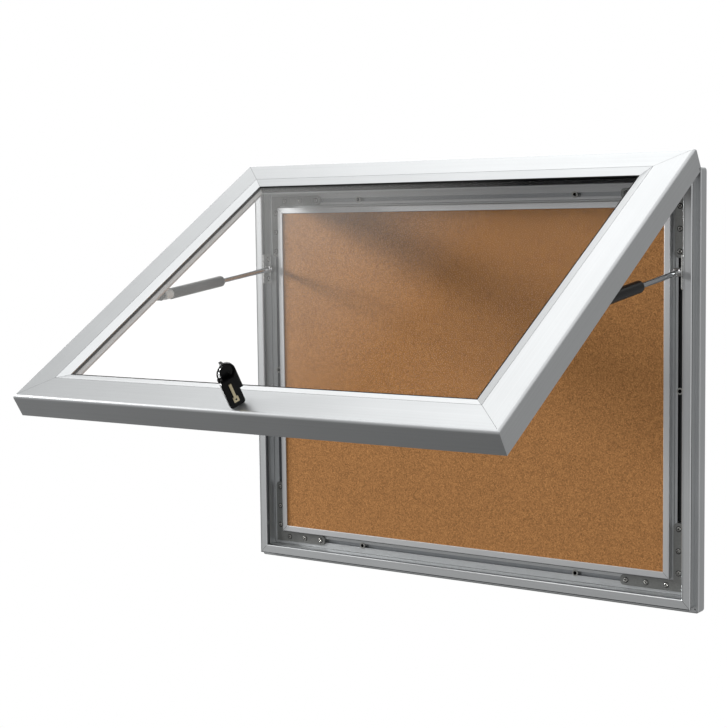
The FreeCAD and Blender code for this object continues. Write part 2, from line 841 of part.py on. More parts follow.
def make_door_frame():
    for side in FRAME_TURNS:
        name = f"door_{side}_rail" if side in ("bottom", "top") else f"door_{side}_stile"
        length = side_length(side, DOOR_WIDTH, DOOR_HEIGHT)
        start = S["hinge_depth"] - S["door_rear"] if side == "top" else Size(0, "0")
        body = member(name, length, *door_section(start))
        if side == "top":
            hinge_hook(body, length)
        mitre(body, length, S["door_frame_width"])
        if side in ("left", "right"):
            top_end = {"left": -1, "right": 1}[side]
            relieve_stile(body, length, top_end)
            places = [((length / 2 - drop) * top_end, inset) for drop, inset in foot_screws()]
            hole_row(body, "foot_holes", "XZ_Plane", S["door_frame_rear"] + S["door_wall"], places,
                     S["screw_radius"] + S["fit_gap"], S["door_wall"] + OVERCUT)
        if side == "bottom":
            sketch = sketch_on(body, f"{name}_lock_hole", "XZ_Plane")
            circle(sketch, S["lock_offset"], S["lock_inset"], S["lock_radius"] + S["fit_gap"])
            pocket(body, sketch)
        node(name, body, *DOOR_FRAME, *frame_place(side, DOOR_WIDTH, DOOR_HEIGHT))


def door_panel(name, inset, start, thickness):
    """A rectangle that keeps one inset from the door's outer edges."""
    half_x, half_z = DOOR_WIDTH / 2 - inset, DOOR_HEIGHT / 2 - inset
    return slab(name, (-half_x, half_x), (-(start + thickness), -start), (-half_z, half_z))


def door_loop(name, inset, width, start, thickness):
    """A rectangular loop of one width."""
    outer = door_panel(f"{name}_outer", inset, start, thickness)
    inner = door_panel(f"{name}_inner", inset + width, start - OVERCUT, thickness + 2 * OVERCUT)
    return cut(name, outer, inner)


def make_glazing():
    seat = S["door_thickness"] - S["door_bevel_drop"] - S["glazing_lip"]
    pane_start = seat - S["pane_thickness"]
    edge = S["door_frame_width"] - S["pane_cover"]
    node("door_pane", door_panel("door_pane", edge, pane_start, S["pane_thickness"]), *DOOR_FRAME)
    rear = S["door_frame_rear"] + S["door_wall"]
    inset = S["door_frame_width"] - S["glazing_depth"] + S["gasket_clearance"]
    width = S["glazing_depth"] - 2 * S["gasket_clearance"]
    node("glazing_gasket", door_loop("glazing_gasket", inset, width, rear, pane_start - rear), *DOOR_FRAME)
    seal_start = S["door_frame_rear"] - S["seal_thickness"]
    node("door_seal", door_loop("door_seal", S["seal_inset"], S["seal_width"], seal_start,
                                S["seal_thickness"]), *DOOR_FRAME)


def door_corner_place(corner):
    x_side, z_side, angle = CORNERS[corner]
    return [move(x=DOOR_WIDTH / 2 * x_side, z=DOOR_HEIGHT / 2 * z_side), turn("Y", angle)]


def make_door_cleats():
    """Hidden angles that join the door's mitres."""
    gap = S["cleat_gap"]
    near = S["door_skirt"] + gap
    rear = S["door_frame_rear"] + S["door_wall"] + gap
    front = S["door_thickness"] - S["door_edge_radius"] - gap
    far = near + S["bracket_width"]
    reach = near + S["door_cleat_leg"]
    cleats = []
    for corner in CORNERS:
        level = slab(f"door_cleat_{corner}_level", (near, reach), (-front, -rear), (near, far))
        upright = slab(f"door_cleat_{corner}_upright", (near, far), (-front, -rear), (near, reach))
        cleats.append(place(fuse(f"door_cleat_{corner}", level, upright), *door_corner_place(corner)))
    node("door_corner_cleats", group("door_corner_cleats", cleats), *DOOR_FRAME)


# Gas struts. Each is drawn along +Z from its pivot on the case and then laid along its line.

STRUT_X = WIDTH / 2 - S["strut_inset"]
PIVOT_Z = HEIGHT / 2 - S["strut_case_drop"]
PIVOT_Y = -S["strut_case_depth"]
DOOR_PIVOT_Z = DOOR_HEIGHT / 2 - S["strut_door_drop"]
DOOR_PIVOT_Y = -(S["door_rear"] - S["strut_door_rear"])
ARM_Y, ARM_Z = DOOR_PIVOT_Y + S["hinge_depth"], DOOR_PIVOT_Z - HINGE_Z
OPEN_COS, OPEN_SIN = cosine(S["open_angle"]), sine(S["open_angle"])
OPEN_Y = ARM_Y * OPEN_COS + ARM_Z * OPEN_SIN - S["hinge_depth"]
OPEN_Z = ARM_Z * OPEN_COS - ARM_Y * OPEN_SIN + HINGE_Z
LINE_Y, LINE_Z = OPEN_Y - PIVOT_Y, OPEN_Z - PIVOT_Z
STRUT_LENGTH = root(LINE_Y * LINE_Y + LINE_Z * LINE_Z)
STRUT_ANGLE = heading(LINE_Z, -LINE_Y)
CYLINDER_END = STRUT_LENGTH - S["strut_eye_reach"]
CYLINDER_START = CYLINDER_END - S["strut_cylinder_length"]


def strut_place(side):
    return [move(STRUT_X * side, PIVOT_Y, PIVOT_Z), turn("X", STRUT_ANGLE)]


def eye(name, bored):
    """A round eye across the strut, with a neck along it."""
    half = S["strut_eye_width"] / 2
    drum = cylinder(f"{name}_drum", S["strut_eye_radius"], S["strut_eye_width"], move(x=-half), turn("Y", 90))
    neck = cylinder(f"{name}_neck", S["strut_rod_radius"] + S["strut_neck_wall"], S["strut_rod_start"])
    solid = fuse(f"{name}_solid", drum, neck)
    if not bored:
        return solid
    bore = cylinder(f"{name}_bore", S["strut_pin_radius"] + S["fit_gap"],
                    S["strut_eye_width"] + 2 * OVERCUT, move(x=-half - OVERCUT), turn("Y", 90))
    return cut(name, solid, bore)


def make_strut(word, side):
    radius, wall = S["strut_cylinder_radius"], S["strut_cylinder_wall"]
    start, end = CYLINDER_START, CYLINDER_END
    lay = strut_place(side)
    node(f"strut_rod_end_{word}", eye(f"strut_rod_end_{word}", True), *lay)

    rod_start, rod_end = S["strut_rod_start"], start + S["strut_engagement"]
    stem = cylinder(f"strut_stem_{word}", S["strut_rod_radius"], rod_end - rod_start, move(z=rod_start))
    piston = cylinder(f"strut_piston_{word}", radius - wall - S["fit_gap"], S["strut_piston_length"],
                      move(z=rod_end - S["strut_piston_length"]))
    node(f"strut_rod_{word}", fuse(f"strut_rod_{word}", stem, piston), *lay)

    body = add("PartDesign::Body", f"strut_cylinder_{word}")
    section = sketch_on(body, f"strut_section_{word}", "XZ_Plane")
    hole = S["strut_rod_radius"] + S["fit_gap"]
    cap, nose = S["strut_cap_thickness"], S["strut_nose_radius"]
    outline(section, [(hole, start), (radius, start, nose), (radius, end), (0, end), (0, end - cap),
                      (radius - wall, end - cap), (radius - wall, start + cap), (hole, start + cap)])
    spun = body.newObject("PartDesign::Revolution", f"strut_turned_{word}")
    spun.Profile = section
    spun.ReferenceAxis = (section, ["V_Axis"])
    spun.Angle = 360
    node(f"strut_cylinder_{word}", body, *lay)

    collar = cylinder(f"strut_collar_{word}", S["strut_collar_radius"], S["strut_collar_length"], move(z=end))
    node(f"strut_collar_{word}", collar, *lay)

    half = S["strut_eye_width"] / 2
    tip = STRUT_LENGTH
    drum = cylinder(f"strut_eye_drum_{word}", S["strut_eye_radius"], S["strut_eye_width"],
                    move(x=-half, z=tip), turn("Y", 90))
    neck_start = end + S["strut_collar_length"]
    neck = cylinder(f"strut_eye_neck_{word}", S["strut_rod_radius"] + S["strut_neck_wall"],
                    tip - neck_start, move(z=neck_start))
    ear_face = FOOT_NEAR + S["ear_thickness"] + S["door_margin"]
    pin_length = S["strut_inset"] - ear_face - S["ear_gap"] + half + S["stud_head_height"]
    pin_start = -half - S["stud_head_height"]
    outward = [] if side > 0 else [turn("Z", 180)]
    pin = cylinder(f"strut_eye_pin_{word}", S["strut_pin_radius"], pin_length, move(z=tip), *outward,
                   move(x=pin_start), turn("Y", 90))
    head = cylinder(f"strut_eye_head_{word}", S["stud_head_radius"], S["stud_head_height"], move(z=tip),
                    *outward, move(x=pin_start), turn("Y", 90))
    node(f"strut_eye_{word}", fuse(f"strut_eye_{word}", drum, neck, pin, head), *lay)


def make_case_plates():
    """Plates and studs on the case's side walls that carry the struts."""
    face = WIDTH / 2 - S["channel_inset"]
    thick = S["strut_plate_thickness"]
    rear, front, half = S["strut_plate_rear"], S["strut_plate_front"], S["strut_plate_half"]
    radius = S["strut_plate_radius"]
    screws = []
    for word, side in left_right:
        body = add("PartDesign::Body", f"strut_bracket_{word}")
        inner = (face - thick) * side
        outer = face * side
        near, far = (inner, outer) if side > 0 else (outer, inner)
        sketch = sketch_on(body, f"strut_bracket_{word}_plate", "YZ_Plane", offset=near, flip=False)
        outline(sketch, [(-front, PIVOT_Z - half, radius), (-rear, PIVOT_Z - half),
                         (-rear, PIVOT_Z + half), (-front, PIVOT_Z + half, radius)])
        pad(body, sketch, far - near)
        holes = sketch_on(body, f"strut_bracket_{word}_holes", "YZ_Plane")
        for height in strut_screw_heights():
            circle(holes, -S["strut_screw_depth"], height, S["screw_radius"] + S["fit_gap"])
        pocket(body, holes)
        node(f"strut_bracket_{word}", body)
        inward = turn("Y", -90 * side)
        for number, height in enumerate(strut_screw_heights()):
            screws.append(board_screw(f"strut_screw_{word}_{number}",
                                      move(inner, -S["strut_screw_depth"], height), inward))
        eye_gap = S["strut_inset"] - S["channel_inset"] - thick - S["strut_eye_width"] / 2 - S["ear_gap"]
        shaft = eye_gap + S["strut_eye_width"] + 2 * S["ear_gap"] + S["stud_head_height"]
        shoulder = cylinder(f"strut_shoulder_{word}", S["strut_pin_radius"] + S["stud_shoulder_wall"],
                            eye_gap)
        stem = cylinder(f"strut_stud_stem_{word}", S["strut_pin_radius"], shaft)
        head = cylinder(f"strut_stud_head_{word}", S["stud_head_radius"], S["stud_head_height"],
                        move(z=shaft - S["stud_head_height"]))
        stud = fuse(f"strut_stud_{word}", shoulder, stem, head)
        node(f"strut_stud_{word}", stud, move(inner, PIVOT_Y, PIVOT_Z), inward)
    node("strut_bracket_screws", group("strut_bracket_screws", screws))


def make_door_feet():
    """Angle feet on the stiles' rear wall, each with an ear beside the strut's pin."""
    screws = []
    rear, drop = S["door_frame_rear"], S["strut_door_drop"]
    thick, half = S["ear_thickness"], S["ear_half"]
    seat = rear - S["foot_thickness"]
    for word, side in left_right:
        name = f"door_strut_foot_{word}"
        outer = DOOR_WIDTH / 2 - FOOT_NEAR
        pivot_z = DOOR_HEIGHT / 2 - drop
        base = slab(f"{name}_base", (outer - S["foot_width"], outer), (-rear, -seat),
                    (pivot_z - S["foot_half"], pivot_z + S["foot_half"]))
        pin_depth = -S["strut_door_rear"]
        ear = slab(f"{name}_ear", (outer - thick, outer), (-rear, -pin_depth), (pivot_z - half, pivot_z + half))
        tip = cylinder(f"{name}_tip", half, thick, move(outer - thick, -pin_depth, pivot_z), turn("Y", 90))
        tools = [cylinder(f"{name}_eye", S["strut_pin_radius"] + S["ear_eye_gap"], thick + 2 * OVERCUT,
                          move(outer - thick - OVERCUT, -pin_depth, pivot_z), turn("Y", 90))]
        for number, (down, inset) in enumerate(foot_screws()):
            tools.append(cylinder(f"{name}_hole_{number}", S["screw_radius"] + S["fit_gap"],
                                  S["foot_thickness"] + 2 * OVERCUT,
                                  move(DOOR_WIDTH / 2 - inset, OVERCUT - seat, DOOR_HEIGHT / 2 - down),
                                  turn("X", 90)))
            steps = [move((DOOR_WIDTH / 2 - inset) * side, -seat, DOOR_HEIGHT / 2 - down), turn("X", -90)]
            screws.append(board_screw(f"{name}_screw_{number}", *DOOR_FRAME, *steps))
        foot = cut_all(name, fuse(f"{name}_solid", base, ear, tip), tools)
        if side < 0:
            mirrored = add("Part::Mirroring", f"{name}_mirrored")
            mirrored.Source = foot
            mirrored.Base = FreeCAD.Vector(0, 0, 0)
            mirrored.Normal = FreeCAD.Vector(1, 0, 0)
            foot = group(f"{name}_piece", [mirrored])
        node(name, foot, *DOOR_FRAME)
    node("door_strut_foot_screws", group("door_strut_foot_screws", screws))


# Lock and keys. They are drawn in the lock's own frame: Z runs forward from the door's rear
# plane along the lock's axis, and the key's width lies along X.

LOCK_AXIS = DOOR_FRAME + [move(x=S["lock_offset"], z=S["lock_inset"] - DOOR_HEIGHT / 2), turn("X", 90)]
KEY_FRAME = LOCK_AXIS + [turn("Z", S["key_turn"])]


def make_lock():
    front, rear = S["door_thickness"], S["door_frame_rear"]
    barrel = cylinder("lock_tube", S["lock_radius"], front - rear, move(z=rear))
    flange = cylinder("lock_flange", S["lock_flange_radius"], S["lock_flange_height"], move(z=front))
    boss = cylinder("lock_boss", S["lock_boss_radius"], S["lock_boss_front"] - front, move(z=front))
    bore = cylinder("lock_bore", S["plug_radius"] + S["fit_gap"], S["lock_boss_front"], move(z=1))
    node("lock_barrel", cut("lock_barrel", fuse("lock_body", barrel, flange, boss), bore), *LOCK_AXIS)

    nut_start = front - S["door_wall"] - S["lock_nut_height"]
    nut = hexagon("lock_nut_blank", S["lock_nut_radius"], S["lock_nut_height"], move(z=nut_start))
    nut_hole = cylinder("lock_nut_hole", S["lock_radius"] + S["fit_gap"], S["lock_nut_height"] + 2 * OVERCUT,
                        move(z=nut_start - OVERCUT))
    node("lock_nut", cut("lock_nut", nut, nut_hole), *LOCK_AXIS)

    cam_front = S["cam_rear"] + S["cam_thickness"]
    plug_rear = rear + 1
    plug = cylinder("plug_core", S["plug_radius"], S["plug_front"] - plug_rear, move(z=plug_rear))
    spindle = cylinder("plug_spindle", S["spindle_radius"], plug_rear - cam_front, move(z=cam_front))
    slot_width = S["blade_width"] + 2 * S["cleat_gap"]
    slot_thick = S["blade_thickness"] + 2 * S["cleat_gap"]
    slot = block("plug_slot", slot_width, slot_thick, S["plug_front"],
                 move(-slot_width / 2, -slot_thick / 2, S["blade_tip"] - 1))
    node("lock_plug", cut("lock_plug", fuse("plug_solid", plug, spindle), slot), *KEY_FRAME)

    hub = cylinder("cam_hub", S["cam_half"] + 1, S["cam_thickness"], move(z=S["cam_rear"]))
    arm = block("cam_arm", S["cam_reach"], 2 * S["cam_half"], S["cam_thickness"],
                move(-S["cam_reach"], -S["cam_half"], S["cam_rear"]))
    node("lock_cam", fuse("lock_cam", hub, arm), *LOCK_AXIS)
    head = cylinder("cam_screw", S["cam_screw_radius"], S["cam_screw_height"],
                    move(z=S["cam_rear"] - S["cam_screw_height"]))
    node("lock_cam_screw", head, *LOCK_AXIS)


def plate_outline(sketch, side, width, start, length, corner):
    half = width / 2
    outline(sketch, [(side - half, start, corner), (side - half, start + length, corner),
                     (side + half, start + length, corner), (side + half, start, corner)])


def make_key():
    """The key in the lock: a folding key, opened out."""
    width, thick = S["blade_width"], S["blade_thickness"]
    blade = block("key_blade", width, thick, S["blade_root"] - S["blade_tip"],
                  move(-width / 2, -thick / 2, S["blade_tip"]))
    node("key_blade", blade, *KEY_FRAME)

    half, start = S["key_width"] / 2, S["key_start"]
    bow_z = start + S["key_length"] - half
    shank = block("key_shank", S["key_width"], S["key_thickness"], bow_z - start,
                  move(-half, -S["key_thickness"] / 2, start))
    bow = cylinder("key_bow", half, S["key_thickness"], move(y=S["key_thickness"] / 2, z=bow_z), turn("X", 90))
    top = S["ring_centre"] + S["ring_radius"]
    hole = S["ring_wire"] + S["ring_play"]
    eye_top, eye_low = top + hole + S["eye_wall"], top - hole - 2 * S["eye_wall"] - 1
    eye_front = S["ring_layer"] + hole + S["eye_wall"]
    lug = slab("key_eye", (-S["ring_side"] - S["eye_half"], S["eye_half"] - S["ring_side"]),
               (-eye_front, S["key_thickness"] / 2 - 1), (eye_low, eye_top))
    solid = fuse("key_solid", shank, bow, lug)
    ring_hole = cylinder("key_eye_hole", hole, 4 * S["eye_half"],
                         move(-S["ring_side"] - 2 * S["eye_half"], -S["ring_layer"], top), turn("Y", 90))
    gap = S["fit_gap"]
    socket = block("key_socket", width + 2 * gap, thick + 2 * gap, S["blade_root"] - start + 1,
                   move(-width / 2 - gap, -thick / 2 - gap, start - 1))
    groove_width = S["folded_width"] + 2
    groove = block("key_groove", groove_width, S["blade_thickness"], S["folded_length"],
                   move(-groove_width / 2, -S["key_thickness"] / 2 - 1, start + S["folded_base"]))
    node("key_head", cut_all("key_head", solid, [ring_hole, socket, groove]), *KEY_FRAME)

    ring = add("Part::Torus", "key_ring")
    bind(ring, Radius1=S["ring_radius"], Radius2=S["ring_wire"])
    node("key_ring", ring, *KEY_FRAME, move(-S["ring_side"], -S["ring_layer"], S["ring_centre"]), turn("X", 90))


def make_spare_key():
    """The second key, folded shut, hanging from the ring beside the first."""
    side, start, length = -S["spare_side"], S["spare_start"], S["spare_length"]
    layer, thick = S["spare_layer"], S["spare_thickness"]
    body = add("PartDesign::Body", "spare_key_plate")
    sketch = sketch_on(body, "spare_key_outline", "XZ_Plane", offset=layer)
    plate_outline(sketch, side, S["key_width"], start, length, S["key_corner_radius"])
    pad(body, sketch, thick)
    top = start + length
    hole = S["spare_eye_radius"]
    tall = S["spare_eye_height"]
    loop = cylinder("spare_eye", hole + S["eye_wall"], tall,
                    move(-S["spare_eye_side"], -S["ring_layer"], top))
    root_block = slab("spare_eye_root", (-S["spare_eye_side"] - hole / 2, hole - S["spare_eye_side"]),
                      (-layer - thick / 2, -S["ring_layer"] - hole), (top - tall, top + tall))
    pivot_z = start + S["folded_pivot"]
    lift = layer + thick + S["folded_lift"] + S["blade_thickness"]
    pivot = cylinder("spare_pivot", S["pivot_radius"], lift - layer - 1, move(side, -layer - 1, pivot_z),
                     turn("X", 90))
    ring_hole = cylinder("spare_eye_hole", hole, S["spare_eye_height"] + 20,
                         move(-S["spare_eye_side"], -S["ring_layer"], top - 10))
    solid = fuse("spare_key_solid", body, loop, root_block, pivot)
    node("spare_key_head", cut("spare_key_head", solid, ring_hole), *KEY_FRAME)

    blade_rear = layer + thick + S["folded_lift"]
    base, width = S["folded_base"], S["folded_width"]
    blade_y = (-blade_rear - S["blade_thickness"], -blade_rear)
    square = slab("folded_square", (side - base / 2, side + base / 2), blade_y,
                  (pivot_z - base / 2, pivot_z + base / 2))
    strip = slab("folded_strip", (side - width / 2, side + width / 2), blade_y,
                 (pivot_z, pivot_z + S["folded_length"]))
    hole = cylinder("folded_hole", S["pivot_radius"] + S["fit_gap"], S["blade_thickness"] + 2 * OVERCUT,
                    move(side, OVERCUT - blade_rear, pivot_z), turn("X", 90))
    node("spare_key_blade", cut("spare_key_blade", fuse("folded_solid", square, strip), hole), *KEY_FRAME)


def check_states():
    for thing in document.Objects:
        if "Invalid" in thing.State or "Error" in thing.State:
            raise RuntimeError(f"{thing.Label}: {thing.State}")


def write_parts():
    os.makedirs("parts", exist_ok=True)
    for label, piece in NODES.items():
        shape = piece.Shape
        if shape.isNull() or not shape.isValid() or not shape.Solids:
            raise RuntimeError(f"{label}: no valid solid")
    for label, piece in NODES.items():
        piece.Shape.exportStep(f"parts/{label}.step")


make_case()
make_board()
for corner_name in CORNERS:
    make_corner_bracket(corner_name)
make_bracket_screws()
make_corner_cleats()
make_eyelets()
make_door_frame()
make_glazing()
make_door_cleats()
for side_word, side_sign in left_right:
    make_strut(side_word, side_sign)
make_case_plates()
make_door_feet()
make_lock()
make_key()
make_spare_key()
document.recompute()
check_states()
write_parts()
print(len(NODES), "nodes written")
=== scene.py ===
"""The looks of a lockable notice board: a wall case with a cork panel and a raised glazed door."""
import json
import math
import random

import bmesh
import bpy
from mathutils import Matrix, Vector


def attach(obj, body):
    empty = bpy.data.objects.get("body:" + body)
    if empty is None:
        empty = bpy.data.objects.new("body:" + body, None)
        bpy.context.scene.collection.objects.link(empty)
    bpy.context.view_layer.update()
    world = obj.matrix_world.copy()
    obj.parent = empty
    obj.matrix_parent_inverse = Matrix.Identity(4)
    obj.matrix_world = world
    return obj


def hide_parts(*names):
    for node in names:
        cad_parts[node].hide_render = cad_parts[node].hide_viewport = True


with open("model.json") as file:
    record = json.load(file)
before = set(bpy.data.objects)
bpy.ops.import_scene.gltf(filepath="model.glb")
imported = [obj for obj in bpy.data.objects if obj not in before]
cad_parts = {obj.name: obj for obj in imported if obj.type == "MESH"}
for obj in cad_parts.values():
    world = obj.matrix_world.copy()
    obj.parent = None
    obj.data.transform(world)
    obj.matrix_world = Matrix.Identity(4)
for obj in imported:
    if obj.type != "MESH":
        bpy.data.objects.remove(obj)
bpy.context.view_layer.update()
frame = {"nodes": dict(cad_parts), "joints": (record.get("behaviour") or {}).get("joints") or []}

bl_info = {
    "name": "Lockable notice board",
    "version": (1, 0, 0),
    "blender": (4, 5, 0),
    "location": "3D View > Sidebar > Notice board",
    "description": "Dresses a lockable cork notice board with finishes, fasteners and a studio",
    "category": "Object",
}

MM = 0.001

# The board's frame: the origin is the middle of its rear face, forward is -Y and up is Z.
CASE_HALF_WIDTH = 500 * MM
CASE_HALF_HEIGHT = 398 * MM
DOOR_MARGIN = 0.5 * MM
HINGE = Vector((0, -27 * MM, 393.7 * MM))
CORNERS = ((-1, -1), (1, -1), (1, 1), (-1, 1))
SIDES = ("bottom", "top", "left", "right")
FORWARD = Vector((0, -1, 0))

# Places on the case's section, in mm: insets from its outer edge and depths from the wall.
STEP_FRONT = 22
STEP_EDGE = 2.5
LIP_OUTER = 9.2
LIP_INNER = 26.0
LIP_FRONT = 40.5
LIP_STEP = (36.6, 38.2)
CHANNEL_INSET = 27.0
CHANNEL_STEP = 52.9
FLOOR_DEPTH = 11.0
TRIM_INSET = 57.5
TRIM_FRONT = 25.4
TRIM_WIDTH = 11.6
# And on the door's section.
DOOR_FRONT = 66.8
DOOR_EDGE = 6.0
DOOR_ROUNDING = ((0.3, 62.6), (1.76, 65.04), (DOOR_EDGE, DOOR_FRONT))
DOOR_FACE_WIDTH = 57.8
DOOR_FRAME_WIDTH = 76.8
DOOR_BEVEL_FRONT = 60.6
PANE_FRONT = 58.6
WIDE_STRIP = (45.2, 53.4)
NARROW_STRIP = (47.6, 48.6)

# Middle inset, half width, middle depth and half depth of a groove of the case's profiles, where shade is
# painted.
SLOT_REGION = (43.6 * MM, 4.1 * MM, 7.2 * MM, 3.5 * MM)
GROOVE_REGION = (23.4 * MM, 2.5 * MM, 34.2 * MM, 3.3 * MM)
# The painted shade inside these grooves, as a multiple of the painted shade colour: paler on most sides,
# darker on the right, where the grooves lie in deep shade.
PALE_SHADE_SHARE = 14.0
DEEP_SHADE_SHARE = 2.5

# How far a seam's ribbon stands off its face, and how thick a laid line is, in mm.
SEAM_LIFT = 0.05
LINE_HEIGHT = 0.1
# A dot of painted shade on each corner of the case, just outside its lip, where a small hole lies dark.
SHADE_DOT_RADIUS = 1.3 * MM
SHADE_DOT_HEIGHT = 0.12 * MM

SCREW_HEAD_RADIUS = 4.2 * MM
SCREW_HEAD_HEIGHT = 1.6 * MM
SCREW_SHANK_RADIUS = 2.1 * MM

# Black discs of painted shade in the wall fixing holes, for the dark behind the holes, with the depth of
# their rear from the wall.
HOLE_SHADE_RADIUS = 3.5 * MM
HOLE_SHADE_LENGTH = 3.6 * MM
HOLE_SHADE_REAR = 8.0 * MM


def paint(code):
    """A linear colour from an sRGB hex code."""
    channels = [int(code[start:start + 2], 16) / 255 for start in (1, 3, 5)]
    linear = [c / 12.92 if c <= 0.04045 else ((c + 0.055) / 1.055) ** 2.4 for c in channels]
    return (*linear, 1.0)


# Settings that a user would change

class BoardColours(bpy.types.PropertyGroup):
    """Colours of the finishes."""
    aluminium: bpy.props.FloatVectorProperty(
        name="Anodised aluminium", description="The silver of the extruded case and door",
        default=paint("#c4c6c7"), size=4, subtype="COLOR", min=0, max=1)
    trim: bpy.props.FloatVectorProperty(
        name="Board trim", description="The thin frame round the cork",
        default=paint("#c9cacb"), size=4, subtype="COLOR", min=0, max=1)
    cork: bpy.props.FloatVectorProperty(
        name="Cork", description="The middle tone of the pressed cork granules",
        default=paint("#9d6f42"), size=4, subtype="COLOR", min=0, max=1)
    cork_dark: bpy.props.FloatVectorProperty(
        name="Cork bark", description="The dark bark specks between the granules",
        default=paint("#6f4826"), size=4, subtype="COLOR", min=0, max=1)
    bracket: bpy.props.FloatVectorProperty(
        name="Corner brackets", description="Dull zinc plating on the corner plates",
        default=paint("#868785"), size=4, subtype="COLOR", min=0, max=1)
    strut: bpy.props.FloatVectorProperty(
        name="Strut cylinder", description="Black stove enamel on the gas struts",
        default=paint("#0e0e10"), size=4, subtype="COLOR", min=0, max=1)
    key: bpy.props.FloatVectorProperty(
        name="Key plastic", description="Black moulded plastic of the keys",
        default=paint("#050506"), size=4, subtype="COLOR", min=0, max=1)
    blade: bpy.props.FloatVectorProperty(
        name="Key brass", description="Pale brass of the folded key's blade",
        default=paint("#e6d8b4"), size=4, subtype="COLOR", min=0, max=1)
    # Painted shade: this colour darkens the insides of the case's grooves, the lines in its inner corners,
    # the case's and trims' mitre seams, and the screws' recesses and rings.
    painted_shade: bpy.props.FloatVectorProperty(
        name="Groove grime", description="The dark inside of narrow grooves and seams",
        default=paint("#2c2d2e"), size=4, subtype="COLOR", min=0, max=1)


class BoardSizes(bpy.types.PropertyGroup):
    """Sizes of surface detail."""
    edge_line: bpy.props.FloatProperty(
        name="Lip edges", description="Width of the bright raised edges of the case's lip",
        default=2.0 * MM, min=0.2 * MM, unit="LENGTH")
    haze: bpy.props.FloatProperty(
        name="Pane haze", description="How much of the light the dust film on the pane scatters at most",
        default=0.08, min=0, max=1)
    seam: bpy.props.FloatProperty(
        name="Seams", description="Width of the mitre seams and step lines between the profiles",
        default=0.5 * MM, min=0.1 * MM, unit="LENGTH")
    edge_round: bpy.props.FloatProperty(
        name="Edge rounding", description="Radius that breaks the sharp edges of metal parts",
        default=0.35 * MM, min=0, unit="LENGTH")
    cork_grain: bpy.props.FloatProperty(
        name="Cork grain", description="Width of one pressed cork granule",
        default=2.1 * MM, min=0.5 * MM, unit="LENGTH")
    die_line: bpy.props.FloatProperty(
        name="Die lines", description="Width of the faint lines that extruding leaves",
        default=2.0 * MM, min=0.1 * MM, unit="LENGTH")


# Nodes, materials and meshes

def add_node(tree, kind, settings=None, inputs=None):
    """One node with its settings, values and links: an input given as a socket is linked."""
    made = tree.nodes.new(kind)
    for name, value in (settings or {}).items():
        setattr(made, name, value)
    for name, value in (inputs or {}).items():
        socket = made.inputs[name]
        if isinstance(value, bpy.types.NodeSocket):
            tree.links.new(value, socket)
        else:
            socket.default_value = value
    return made


def new_material(name):
    material = bpy.data.materials.new(name)
    material.use_nodes = True
    material.node_tree.nodes.clear()
    return material, material.node_tree


def finish_material(material, shader):
    tree = material.node_tree
    add_node(tree, "ShaderNodeOutputMaterial", inputs={"Surface": shader.outputs["BSDF"]})
    return material


def tones(tree, factor, *stops):
    """A ramp from a factor through (place, colour) stops."""
    ramp = add_node(tree, "ShaderNodeValToRGB", inputs={"Fac": factor})
    elements = ramp.color_ramp.elements
    while len(elements) < len(stops):
        elements.new(0.5)
    for element, (place, colour) in zip(elements, stops):
        element.position = place
        element.color = colour
    return ramp.outputs["Color"]


def shade(colour, share):
    """A lighter or darker tone of a colour."""
    return (*[min(1.0, channel * share) for channel in colour[:3]], 1.0)


def grey(value):
    return (value, value, value, 1.0)


def stretched(tree, axis, length, width, tilt=0.0):
    """Object coordinates squeezed so that a pattern runs in long lines along one axis."""
    place = add_node(tree, "ShaderNodeTexCoord").outputs["Object"]
    turned = add_node(tree, "ShaderNodeMapping", inputs={"Vector": place, "Rotation": (-tilt, 0, 0)})
    scale = [1 / length if name == axis else 1 / width for name in "XYZ"]
    mapped = add_node(tree, "ShaderNodeMapping",
                      inputs={"Vector": turned.outputs["Vector"], "Scale": scale})
    return mapped.outputs["Vector"]


def colours():
    return bpy.context.scene.board_colours


def sizes():
    return bpy.context.scene.board_sizes


def within(tree, value, middle, half):
    """1 where a value lies within a half width of the middle, else 0."""
    return add_node(tree, "ShaderNodeMath", {"operation": "COMPARE"},
                    {0: value, 1: middle, 2: half}).outputs["Value"]


def groove_shares(tree, across, half_size):
    """1 inside the case's grooves, where shade is painted: the slot in its floor and the groove behind its
    lip.
    """
    place = add_node(tree, "ShaderNodeTexCoord").outputs["Object"]
    axes = add_node(tree, "ShaderNodeSeparateXYZ", inputs={"Vector": place})
    distance = add_node(tree, "ShaderNodeMath", {"operation": "ABSOLUTE"}, {0: axes.outputs[across]})
    total = 0.0
    for inset, inset_half, depth, depth_half in (SLOT_REGION, GROOVE_REGION):
        share = add_node(tree, "ShaderNodeMath", {"operation": "MULTIPLY_ADD"},
                         {0: within(tree, distance.outputs["Value"], half_size - inset, inset_half),
                          1: within(tree, axes.outputs["Y"], -depth, depth_half), 2: total})
        total = share.outputs["Value"]
    return total


